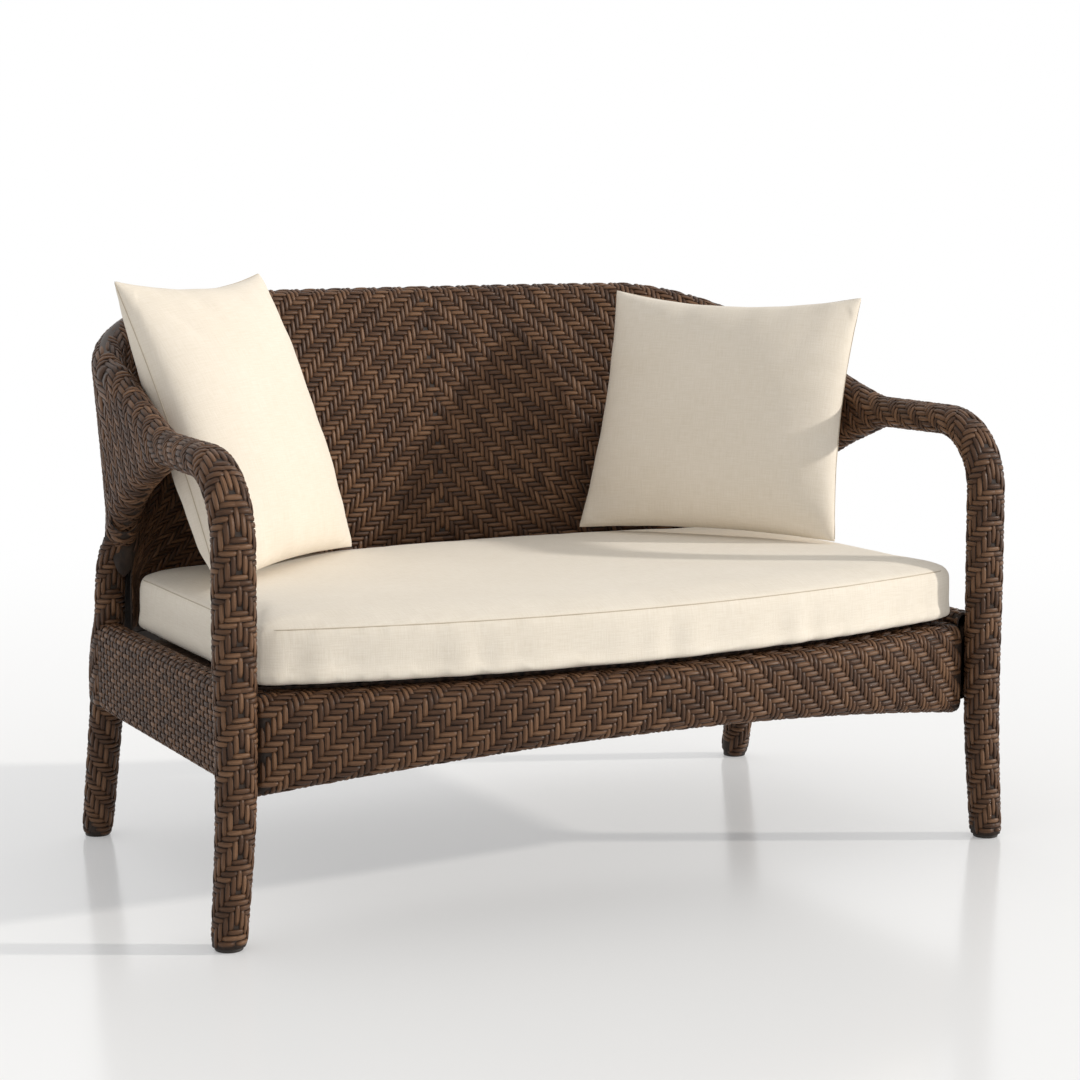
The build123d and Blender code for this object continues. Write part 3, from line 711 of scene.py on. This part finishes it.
# Woven surfaces
FRONT_HALF, FRONT_CURVE = 604, 3750     # half width of the front apron and cushion, and twice their bow's radius
PATCH_TOP = 508                         # the rear corners' own weave starts here
BACK_LAP = 484                          # and the back's ends here, beyond the join


def band_rows(half_length, step, deep_inner, deep_outer):
    """Back and its corners: up the inner face, over the rim and down behind to the foot of the rear apron."""
    count = round(half_length / step)
    right = []
    for k in range(count + 1):
        s = half_length * k / count
        edge = window_level(min(s, JOIN - 2))
        inner = half_line(s, True, max(edge, deep_inner), False)
        outer = half_line(s, False, max(edge, deep_outer), False)
        inner_points = resample(inner, 36, 0, lay_out(inner)[-1])
        outer_points = resample(outer, 58, 0, lay_out(outer)[-1])
        row = [(p, (s, -far)) for p, far in reversed(inner_points[1:])]
        row += [(p, (s, far)) for p, far in outer_points]
        right.append([(p, uv, float(s <= JOIN or p.z > BACK_LAP)) for p, uv in row])
    return other_side(right[1:]) + right


def ring_row(u, inner, outer, scale_in, scale_out, points=44, extra=3.4):
    """One closed section, from its top middle both ways round and some cells past the seam underneath."""
    halves = []
    for line, other, scale, sign, margin in (
        (inner, outer, scale_in, -1, -0.3), (outer, inner, scale_out, 1, 0.3),
    ):
        length = lay_out(line)[-1]
        ring = line + other[-2::-1]
        reach = min(length + extra * CELL / scale, lay_out(ring)[-1] * 0.98)
        limit = length * scale / CELL + margin
        spots = [(p, far * scale) for p, far in resample(ring, points, 0, reach)]
        halves.append([(p, (u, sign * v), limit - v / CELL + 0.5) for p, v in spots])
    return halves[0][:0:-1] + halves[1]


def arm_and_wing_rows(start):
    """A wing, the arm and the front leg: closed sections from the back's corner to the foot."""
    rows = []
    count = round((S_TIP - start) / 7)
    for k in range(count + 1):
        s = start + (S_TIP - start) * k / count
        bottom = window_level(max(s, JOIN + 1))
        inner, outer = half_line(s, True, bottom, True), half_line(s, False, bottom, True)
        blend = min(max((S_TIP - s) / 75, 0), 1)
        blend = blend * blend * (3 - 2 * blend)
        scales = []
        for line in (inner, outer):
            tight = 10 * CELL / lay_out(line)[-1]
            scales.append(tight + (1 - tight) * blend)
        row = ring_row(s, inner, outer, *scales)
        if s < JOIN + 16:
            row = [(p, uv, own if p.z > PATCH_TOP - 2 else 0.0) for p, uv, own in row]
        rows.append(row)
    tip = s
    for middle, top, width, depth, far in arm_sections():
        inner, outer = (oval_half(middle, top, width, depth, inside) for inside in (True, False))
        scale = 10 * CELL / lay_out(inner)[-1]
        rows.append(ring_row(tip + far, inner, outer, scale, scale))
    return rows


def other_side(rows):
    """The rows mirrored, and in the order that keeps their outside out."""
    return [[(mirrored(p), (-uv[0], uv[1]), o) for p, uv, o in row] for row in reversed(rows)]


def rounded_halves(centre, across, width, height, corner, steps=6):
    """Both halves of a rounded rectangle, from its top middle to its bottom middle, the one across first."""
    turns = [math.pi / 2 * k / steps for k in range(steps + 1)]
    flat, level = width / 2 - corner, height / 2 - corner
    points = [(flat + corner * math.sin(a), level + corner * math.cos(a)) for a in turns]
    points += [(flat + corner * math.cos(a), -level - corner * math.sin(a)) for a in turns]
    points = [(0.0, height / 2)] + points + [(0.0, -height / 2)]
    return [[centre + across * (side * x) + UP * y for x, y in points] for side in (1, -1)]


def front_apron_rows():
    """Bowed panel with an arched lower edge. Distance along it is close to that along its bow."""
    rows = []
    top, low_end, arch, deep, corner = 347, 205, 50, 68, 20
    for k in range(-52, 53):
        x = FRONT_HALF * k / 52
        run = x * x / FRONT_CURVE - 88 + deep / 2
        low = low_end + arch * (1 - (x / FRONT_HALF) ** 2)
        centre = Vector((x, FRONT_LEG_Y + run, (top + low) / 2))
        front, rear = rounded_halves(centre, FORWARD, deep, top - low, corner)
        rows.append(ring_row(x * (1 + x * x / (6 * FRONT_CURVE ** 2) * 4), front, rear, 1, 1, 26))
    return rows


def side_apron_rows():
    """Straight panel that draws in a little to the rear."""
    rows = []
    rear, front, middle, wide, high, corner = 592, 26, 295, 38, 140, 17
    for k in range(61):
        run = rear - (rear - front) * k / 60
        outer_x = 645 - 8 * (run - 27) / 517
        centre = Vector((outer_x - wide / 2, FRONT_LEG_Y + run, middle))
        outer, inner = rounded_halves(centre, ACROSS, wide, high, corner)
        scale = 20 * CELL / lay_out(inner)[-1]
        rows.append(ring_row(rear - run, inner, outer, scale, scale, 30))
    return rows


def rear_leg_rows():
    """Round leg, splayed to the rear, a little thinner at its foot."""
    rows = []
    foot, knee = Vector((611, FRONT_LEG_Y + 689, 6)), Vector((606, FRONT_LEG_Y + 641, 224))
    down = (foot - knee).normalized()
    length = (foot - knee).length
    for k in range(-2, 27):
        far = length * k / 26
        middle = knee + down * far
        radius = 25 - 2 * max(far, 0) / length - max(far - length + 7, 0) ** 2 * 0.05
        rear = down.cross(ACROSS).normalized() * -1
        turns = [math.pi * a / 16 for a in range(17)]
        halves = [
            [middle + ACROSS * radius * math.cos(a) + rear * sign * radius * math.sin(a) for a in turns]
            for sign in (-1, 1)
        ]
        scale = 9 * CELL / lay_out(halves[0])[-1]
        rows.append(ring_row(far + 60, halves[0], halves[1], scale, scale, 24))
    return rows


def window_run(z):
    """Place of the arm window's rear edge at height z."""
    return table_value(sorted((level, run) for run, level in WINDOW_EDGE), z)


def rear_corner_rows():
    """The shell's side behind the arm window, over the rear leg's top: outer face, edge and inner face."""
    sections = []
    foot, half = 233, SHELL / 2
    for k in range(36):
        z = PATCH_TOP - (PATCH_TOP - foot) * k / 35
        edge = window_run(z) + half
        places = [plan_point(z, SHELL, ("corner", 0.1 + 0.9 * i / 45)) for i in range(46)]
        places = [place for place in places if place[1] > edge + 2]
        start = places[-1][1]
        if start > edge + 8:
            places += [plan_point(z, SHELL, ("side", start + (edge - start) * i / 6)) for i in range(1, 6)]
        for i in range(17):
            a = math.pi * i / 16
            places.append(plan_point(z, half + half * math.cos(a), ("side", edge - half * math.sin(a))))
        tip = len(places) - 9           # the middle of the rounded edge, where the columns are counted from
        places += [plan_point(z, 0, ("side", edge + 10 * i)) for i in range(1, 5)]
        line = [Vector((x, FRONT_LEG_Y + run, z)) for x, run in places]
        lengths = lay_out(line)
        sections.append((line, lengths[tip], lengths[-1], z))
    rows = []
    outside, inside = 92, 72            # how far the weave goes from the edge, along each face
    for i in range(34):
        u = -outside + (outside + inside) * i / 33
        row = []
        for line, middle, total, z in sections:
            far = min(max(middle + u, 0), total)
            p = resample(line, 2, far, far + 1e-6)[0][0]
            row.append((p, (u, PATCH_TOP - z), 1.0 if 0 < middle + u < total else 0.0))
        rows.append(row)
    return rows


tree = weave_tree()


def dress(name, rows, nodes, parts, reach=None, **settings):
    """Core and strands over one guide. Each of parts is a name and the stretch of the guide it covers."""
    guide = surface(name + "_guide", rows)
    short = surface(name + "_short", [row for row in rows if abs(row[0][1][0]) <= reach]) if reach else guide
    pieces = [core(name + "_core", short)]
    if reach:
        bpy.data.objects.remove(short)
    for part, least, most in parts:
        pieces.append(weave(part, guide, least, most, **settings))
    bpy.data.objects.remove(guide)
    for piece in pieces:
        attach(piece, "frame")
    if nodes:
        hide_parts(*nodes)


dress(
    "back", band_rows(JOIN + 36, 12, 351, 237), ("back_inner_weave", "back_outer_weave", "top_rim_weave"),
    (("back_strands_left", -JOIN_EDGE, -0.5 * CELL), ("back_strands_right", -0.5 * CELL, JOIN_EDGE)),
    reach=JOIN + 1,
)


def dress_pair(stem, rows, nodes, seeds, edge=None, **settings):
    """A piece of the right side and its mirrored twin, with strands from edge on where one is given."""
    mirror_edge = None if edge is None else -edge
    for side, guide_rows, least, most, seed in (
        ("right", rows, edge, None, seeds[0]), ("left", other_side(rows), None, mirror_edge, seeds[1]),
    ):
        name, own_nodes = f"{side}_{stem}", [f"{side}_{node}" for node in nodes]
        dress(name, guide_rows, own_nodes, ((name + "_strands", least, most),), seed=seed, **settings)


BASKET = {"span": 1, "pitch": (15.6, CELL), "width": 0.84, "overlap": 0.45, "rise": 1.6}
dress_pair("arm", arm_and_wing_rows(JOIN - 34), ("arm_weave", "wing_weave"), (1, 2), JOIN_EDGE)
dress_pair("rear_corner", rear_corner_rows(), (), (8, 9))
front_strands = (("front_apron_strands", None, None),)
dress("front_apron", front_apron_rows(), ("front_apron_weave",), front_strands, seed=3)
dress_pair("apron", side_apron_rows(), ("apron_weave",), (4, 5), **BASKET)
dress_pair("rear_leg", rear_leg_rows(), ("rear_leg_weave",), (6, 7))


# Soft pieces
def form_of(name, mesh):
    """Object from a closed mesh, its faces turned outwards, as the pressure in it works along them."""
    bmesh.ops.recalc_face_normals(mesh, faces=mesh.faces)
    if mesh.calc_volume(signed=True) < 0:
        bmesh.ops.reverse_faces(mesh, faces=mesh.faces)
    data = bpy.data.meshes.new(name)
    mesh.to_mesh(data)
    mesh.free()
    return add_object(name, data)


def closed_form(name, sections):
    """Closed mesh through rings of points, with a flat end at each side."""
    mesh = bmesh.new()
    rings = [[mesh.verts.new(p * MM) for p in ring] for ring in sections]
    size = len(rings[0])
    for low, high in zip(rings, rings[1:]):
        for k in range(size):
            mesh.faces.new((low[k], low[(k + 1) % size], high[(k + 1) % size], high[k]))
    mesh.faces.new(rings[0][::-1])
    mesh.faces.new(rings[-1])
    bmesh.ops.triangulate(mesh, faces=[f for f in mesh.faces if len(f.verts) > 4])
    return form_of(name, mesh)


def remeshed(obj, voxel):
    modifier = obj.modifiers.new("remesh", "REMESH")
    modifier.mode = "VOXEL"
    modifier.voxel_size = voxel * MM
    return in_place_of(obj)


def inflate(obj, pressure, cap, held):
    """Let the cover swell under pressure for 20 frames, with no point moving more than cap from its start."""
    starts = [v.co.copy() for v in obj.data.vertices]
    group = obj.vertex_groups.new(name="held")
    group.add([k for k, p in enumerate(starts) if held(p)], 1.0, "REPLACE")
    cloth = obj.modifiers.new("cloth", "CLOTH")
    settings = cloth.settings
    settings.quality = 4
    settings.mass = 0.25
    settings.tension_stiffness = settings.compression_stiffness = 18
    settings.shear_stiffness = 8
    settings.bending_stiffness = 0.4
    settings.use_pressure = True
    settings.uniform_pressure_force = pressure
    settings.vertex_group_mass = "held"
    settings.effector_weights.gravity = 0
    cloth.collision_settings.use_collision = False
    for number in range(1, 21):
        scene.frame_set(number)
    swollen = obj.evaluated_get(bpy.context.evaluated_depsgraph_get()).data
    moved = [v.co.copy() for v in swollen.vertices]
    obj.modifiers.remove(cloth)
    for vertex, start, end in zip(obj.data.vertices, starts, moved):
        step = end - start
        if step.length > cap * MM:
            step = step.normalized() * cap * MM
        vertex.co = start + step
    scene.frame_set(1)


def relax(obj):
    """One light smoothing."""
    mesh = bmesh.new()
    mesh.from_mesh(obj.data)
    axes = dict.fromkeys(("use_axis_x", "use_axis_y", "use_axis_z"), True)
    bmesh.ops.smooth_vert(mesh, verts=mesh.verts, factor=0.5, **axes)
    mesh.to_mesh(obj.data)
    mesh.free()


def subdivided(obj):
    modifier = obj.modifiers.new("smooth", "SUBSURF")
    modifier.levels = modifier.render_levels = 1
    made = in_place_of(obj)
    smooth_faces(made)
    return made


def cloth_map(obj, across=ACROSS, up=REARWARD, out=UP):
    """Map the fabric flat on to each side of the piece, its threads along the piece's own directions."""
    layer = obj.data.uv_layers.new(name="cloth")
    axes = (across, up, out)
    for polygon in obj.data.polygons:
        facing = [abs(polygon.normal.dot(axis)) for axis in axes]
        k = facing.index(max(facing))
        first, second = [axis for i, axis in enumerate(axes) if i != k]
        for index in polygon.loop_indices:
            p = obj.data.vertices[obj.data.loops[index].vertex_index].co
            layer.data[index].uv = (p.dot(first), p.dot(second))


def seam_line(name, points, closed=False, radius=0.8):
    """Raised line of stitching along points on a cover."""
    curve = bpy.data.curves.new(name, "CURVE")
    curve.dimensions = "3D"
    curve.bevel_depth = radius * MM
    curve.bevel_resolution = 1
    curve.use_fill_caps = True
    spline = curve.splines.new("POLY")
    spline.points.add(len(points) - 1)
    for spot, p in zip(spline.points, points):
        spot.co = (*p, 1.0)
    spline.use_cyclic_u = closed
    made = add_object(name, curve)
    finished = plain_mesh(made, name + "_mesh")
    bpy.data.objects.remove(made)
    finished.name = name
    wear(finished, seam_thread)
    cloth_map(finished)
    return finished


CUSHION_LEVELS = (                      # share of the height, and how far the outline is drawn in there
    (0, 5), (0.04, 2), (0.12, 0), (0.5, -1), (0.8, 0), (0.87, 2), (0.92, 8), (0.955, 24), (0.98, 70), (1, 180),
)
CUSHION_FOOT, CUSHION_CROWN = 353.2, 455.0
CUSHION_TOP, CUSHION_SEAM = 456.5, 437
CUSHION_FRONT, CUSHION_REAR, CUSHION_REAR_HALF = -79, 653, 592


def cushion_ring(z, inset):
    """Outline of the seat cushion at one level, its corners rounded by a mean over places along it."""
    def edge(start, run, curve):
        """Points across the cushion, from start to its mirrored place."""
        places = [start - 2 * start * k / 40 for k in range(41)]
        return [Vector((x, run + x * x / curve, z)) for x in places]

    front = edge(inset - FRONT_HALF, CUSHION_FRONT + inset, FRONT_CURVE)
    rear = edge(CUSHION_REAR_HALF - inset, CUSHION_REAR - inset, -FRONT_CURVE)
    line = front + [front[-1].lerp(rear[0], k / 24) for k in range(1, 24)]
    line += rear + [rear[-1].lerp(front[0], k / 24) for k in range(1, 24)]
    ring = line + [line[0]]
    lengths = lay_out(ring)
    spread = 13
    rounded = []
    for far in lengths[:-1]:
        total = Vector((0, 0, 0))
        for step in (-1, -0.5, 0, 0.5, 1):
            want = (far + step * spread) % lengths[-1]
            k = max(i for i in range(len(line)) if lengths[i] <= want)
            total += ring[k].lerp(ring[k + 1], (want - lengths[k]) / max(lengths[k + 1] - lengths[k], 1e-6))
        rounded.append(total / 5 + Vector((0, FRONT_LEG_Y, 0)))
    return rounded


def seat_cushion():
    sections = []
    for share, inset in CUSHION_LEVELS:
        z = CUSHION_FOOT + 5 + share * (CUSHION_CROWN - CUSHION_FOOT - 9)
        sections.append(cushion_ring(z, inset + 4))
    form = remeshed(closed_form("seat_cushion_form", sections), 8.5)
    inflate(form, 2.5, 6, lambda p: p.z < CUSHION_FOOT * MM + 0.012)
    relax(form)
    for vertex in form.data.vertices:
        p = vertex.co
        puckers = math.sin(p.x * 61 + 1.7 * math.sin(p.x * 23)) * math.sin(p.x * 17 + 0.8)
        front = max(0.0, min(1.0, (-0.36 - p.y + (p.x ** 2) / 3.75) / 0.02))
        low = max(0.0, min(1.0, (0.44 - p.z) / 0.05))
        p.y += 0.0016 * puckers * front * low
        p.z = min(max(p.z, CUSHION_FOOT * MM), CUSHION_TOP * MM)
    form = subdivided(form)
    for vertex in form.data.vertices:
        vertex.co.z = max(vertex.co.z, CUSHION_FOOT * MM)
    form.name = form.data.name = "seat_cushion"
    return form


def hits(obj, rays, lift):
    """Where rays of (start, direction away from the piece) meet the piece, raised a little off it."""
    cover = BVHTree.FromPolygons([v.co for v in obj.data.vertices], [p.vertices for p in obj.data.polygons])
    spots = [(cover.ray_cast(start, -away)[0], away) for start, away in rays]
    return [spot + away * lift for spot, away in spots if spot]


def seam_round_cushion(obj, level):
    """Points round the cushion's side at one level."""
    rays = []
    for p in cushion_ring(level, 0):
        start = p * MM
        away = (start - Vector((start.x * 0.9, start.y * 0.75, start.z))).normalized()
        rays.append((start + away * 0.05, away))
    return hits(obj, rays, 0.0001)


def pillow(name, corners, half_thickness, seed):
    """Throw pillow between its four corners: two crowned faces that meet at a drawn-in seam."""
    places = [Vector((x, FRONT_LEG_Y + run, z)) for x, run, z in corners]
    middle = sum(places, Vector()) / 4
    across = (places[1] + places[2] - places[0] - places[3]).normalized()
    up = places[2] + places[3] - places[0] - places[1]
    out = across.cross(up).normalized()
    up = out.cross(across).normalized()
    count = 64
    drawn = 1.25                        # how far each edge is drawn in between its corners
    half_thickness *= 0.93       # the pressure gives the rest
    mesh = bmesh.new()
    grids = []
    for face in (-1, 1):
        grid = {}
        for i in range(count + 1):
            for j in range(count + 1):
                u, v = i / count, j / count
                low, high = places[0].lerp(places[1], u), places[3].lerp(places[2], u)
                p = low.lerp(high, v)
                s, t = 2 * u - 1, 2 * v - 1
                sag = 20 if v > 0.5 else 9
                p -= across * (11 * drawn * s * (1 - t * t) * abs(s) ** 3)
                p -= up * (sag * drawn * t * (1 - s * s) * abs(t) ** 3)
                crown = max((1 - abs(s) ** 2.8), 0) ** 0.56 * max((1 - abs(t) ** 2.8), 0) ** 0.56
                folds = 0.0
                for n in range(7):
                    a = seed + n * 1.9
                    reach = abs(s) ** 5 * math.sin(t * (7 + n * 1.3) + a)
                    reach += abs(t) ** 5 * math.sin(s * (6 + n * 1.7) + a * 1.3)
                    folds += reach * 1.4
                rim = i in (0, count) or j in (0, count)
                if rim and face == 1:
                    grid[i, j] = grids[0][i, j]
                    continue
                height = 0.0 if rim else half_thickness * crown * (1 + folds * 0.02)
                grid[i, j] = mesh.verts.new((p + out * face * height) * MM)
        for i in range(count):
            for j in range(count):
                quad = (grid[i, j], grid[i + 1, j], grid[i + 1, j + 1], grid[i, j + 1])
                mesh.faces.new(quad if face == 1 else quad[::-1])
        grids.append(grid)
    obj = form_of(name + "_form", mesh)
    ends = [p * MM for p in places]
    inflate(obj, 4.0, 27, lambda p: min((p - e).length for e in ends) < 0.012)
    relax(obj)
    obj = subdivided(obj)
    wrinkle(obj, middle, across, up, out, seed)
    settle(obj)
    obj.name = obj.data.name = name
    cloth_map(obj, across, up, out)
    return obj, places


def wrinkle(obj, middle, across, up, out, seed):
    """Folds that run in from the seams and die out towards the middle of each face."""
    half = 232.0
    for vertex in obj.data.vertices:
        p = vertex.co / MM - middle
        s, t, side = p.dot(across) / half, p.dot(up) / half, math.copysign(1, p.dot(out))
        fade = max(0.0, 1 - max(abs(s), abs(t)) ** 14)
        folds = 0.0
        for edge, along, turn in ((s, t, 0.0), (t, s, 2.4)):
            reach = min(abs(edge), 1.0) ** 3.2
            spot = seed + turn + (3.1 if edge > 0 else 0.0) + side
            bent = along + 0.16 * edge * math.sin(2.1 * spot)
            waves = math.sin(8.3 * bent + spot) + 0.8 * math.sin(15.7 * bent + 1.7 * spot)
            folds += reach * (waves + 0.45 * math.sin(27 * bent - spot))
        vertex.co += out * (side * 2.1 * fade * folds * MM)


def settle(obj, room=4.0):
    """Keep a pillow clear of the back, the wing, the rim and the seat cushion that it leans on."""
    for vertex in obj.data.vertices:
        p = vertex.co / MM
        x, run, z = abs(p.x), p.y - FRONT_LEG_Y, p.z
        if z < 459:
            p.z = 457.2 + max(z - 440, 0) * 0.09
        rim = RIM_TOP if x < 425 else rim_level(distance_at(min(run, SIDE_START)))
        if z < rim + RIM_RADIUS + 2:
            over = max(z - rim, 0)
            slack = RIM_RADIUS + 10
            if over < RIM_RADIUS:
                slack = RIM_RADIUS - math.sqrt(RIM_RADIUS ** 2 - over ** 2)
            centre, radius, corner, hub, _, _ = plan_facts(max(z, 450), -room + slack)
            if x > hub[0] and run > hub[1]:
                away = Vector((x - hub[0], run - hub[1]))
                if away.length > corner:
                    away = away.normalized() * corner
                    x, run = hub[0] + away.x, hub[1] + away.y
            else:
                x = min(x, SIDE_X - room + slack - SIDE_SLOPE * run)
                far = math.hypot(x, run - centre)
                if far > radius and run > centre:
                    x, run = x * radius / far, centre + (run - centre) * radius / far
            p.x = math.copysign(x, p.x)
            p.y = FRONT_LEG_Y + run
        vertex.co = p * MM


def pillow_seam(name, obj, places):
    """Stitched seam where the pillow's two faces meet, round its sides and top."""
    middle = sum(places, Vector()) / 4
    rays = []
    for a, b in ((1, 2), (2, 3), (3, 0)):
        for k in range(60):
            away = (places[a].lerp(places[b], (k + 0.5) / 60) - middle).normalized()
            rays.append(((middle + away * 500) * MM, away))
    return seam_line(name, hits(obj, rays, 0.0003))


PILLOW_HALF = 70
LEFT_CORNERS = ((-560, 258, 456), (-206, 568, 456), (-322, 672, 906), (-627, 508, 905))
RIGHT_CORNERS = ((520, 240, 456), (228, 600, 456), (322, 634, 866), (640, 345, 858))

cushion = seat_cushion()
cloth_map(cushion)
wear(cushion, cushion_linen)
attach(cushion, "seat_cushion")
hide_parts("seat_cushion_cover", "seat_cushion_foam")
cushion_seam = seam_line("seat_cushion_seam", seam_round_cushion(cushion, CUSHION_SEAM), True)
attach(cushion_seam, "seat_cushion")
for name, corners, seed in (("left", LEFT_CORNERS, 0.4), ("right", RIGHT_CORNERS, 2.1)):
    body, places = pillow(name + "_pillow", corners, PILLOW_HALF, seed)
    wear(body, pillow_linen)
    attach(body, name + "_pillow")
    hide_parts(name + "_pillow_cover", name + "_pillow_insert")
    line = pillow_seam(name + "_pillow_seam", body, places)
    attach(line, name + "_pillow")


# CAD nodes that stay
FINISHES = {
    "resin_weave": webbing, "frame_metal": coat, "glide": glide_plastic, "zip": tape,
    "cream_fabric": cushion_linen, "filling": cushion_linen,
}
slots = {part["node"]: part["material_slot"] for part in frame["record"]["subparts"]}
for name, node in frame["nodes"].items():
    wear(node, slider_plastic if name.endswith("slider") else FINISHES[slots[name]])


# Camera, light and floor
CAMERA_PLACE, CAMERA_DIP, CAMERA_TURN = (-1.8958, -3.5733, 1.0602), 0.14143, -0.4922
FLOOR_REACH, FLOOR_LEVEL = 30, -0.0003  # just under the glides
SHADOWS_WHOLE, SHADOWS_GONE = 0.9, 3.6  # distances from the middle between which the floor fades to white
KEY_AIM = Vector((-0.88, 0.47, -0.35))
WHITE = (1, 1, 1, 1)

camera = add_object("camera", bpy.data.cameras.new("camera"))
camera.location = CAMERA_PLACE
camera.rotation_euler = (math.pi / 2 - CAMERA_DIP, 0, CAMERA_TURN)
camera.data.lens = 85.52
camera.data.sensor_width = 36
scene.camera = camera


def seen(t):
    """1 for what the camera sees, straight or reflected, and 0 for what only gives light."""
    rays = t.tree.nodes.new("ShaderNodeLightPath")
    return t.math("MAXIMUM", rays.outputs["Is Camera Ray"], rays.outputs["Is Glossy Ray"])


floor_mesh = bpy.data.meshes.new("floor")
corners = [(x * FLOOR_REACH, y * FLOOR_REACH, FLOOR_LEVEL) for x, y in ((-1, -1), (1, -1), (1, 1), (-1, 1))]
floor_mesh.from_pydata(corners, [], [(0, 1, 2, 3)])
floor = add_object("floor", floor_mesh)
floor_material, t, shader = finish_of("pale gloss floor", 0.16, 0.5)
shader.inputs["Base Color"].default_value = (0.95, 0.95, 0.945, 1)
far = t.add("ShaderNodeVectorMath", {0: t.place()}, operation="LENGTH")
fade = t.add("ShaderNodeMapRange", {
    "Value": far, "From Min": SHADOWS_WHOLE, "From Max": SHADOWS_GONE, "To Min": 0.26, "To Max": 1.0,
}, interpolation_type="SMOOTHSTEP")
white = t.add("ShaderNodeEmission", {"Color": WHITE, "Strength": 1.0})
mix = t.add("ShaderNodeMixShader", {0: t.times(fade, seen(t)), 1: shader.outputs[0], 2: white})
output = next(n for n in t.tree.nodes if n.type == "OUTPUT_MATERIAL")
t.tree.links.new(mix, output.inputs[0])
floor_mesh.materials.append(floor_material)

world = bpy.data.worlds.new("studio")
scene.world = world
world.use_nodes = True
t = Tree(world.node_tree)
background = next(n for n in t.tree.nodes if n.type == "BACKGROUND")
strength = t.add("ShaderNodeMapRange", {"Value": seen(t), "To Min": 0.69, "To Max": 1.0})
t.tree.links.new(strength, background.inputs["Strength"])
background.inputs["Color"].default_value = WHITE

sun = add_object("key", bpy.data.lights.new("key", "SUN"))
sun.data.energy = 2.25
sun.data.angle = math.radians(2.5)
sun.data.color = (1.0, 0.96, 0.9)
sun.rotation_euler = KEY_AIM.to_track_quat("-Z", "Y").to_euler()

scene.view_settings.view_transform = "Standard"
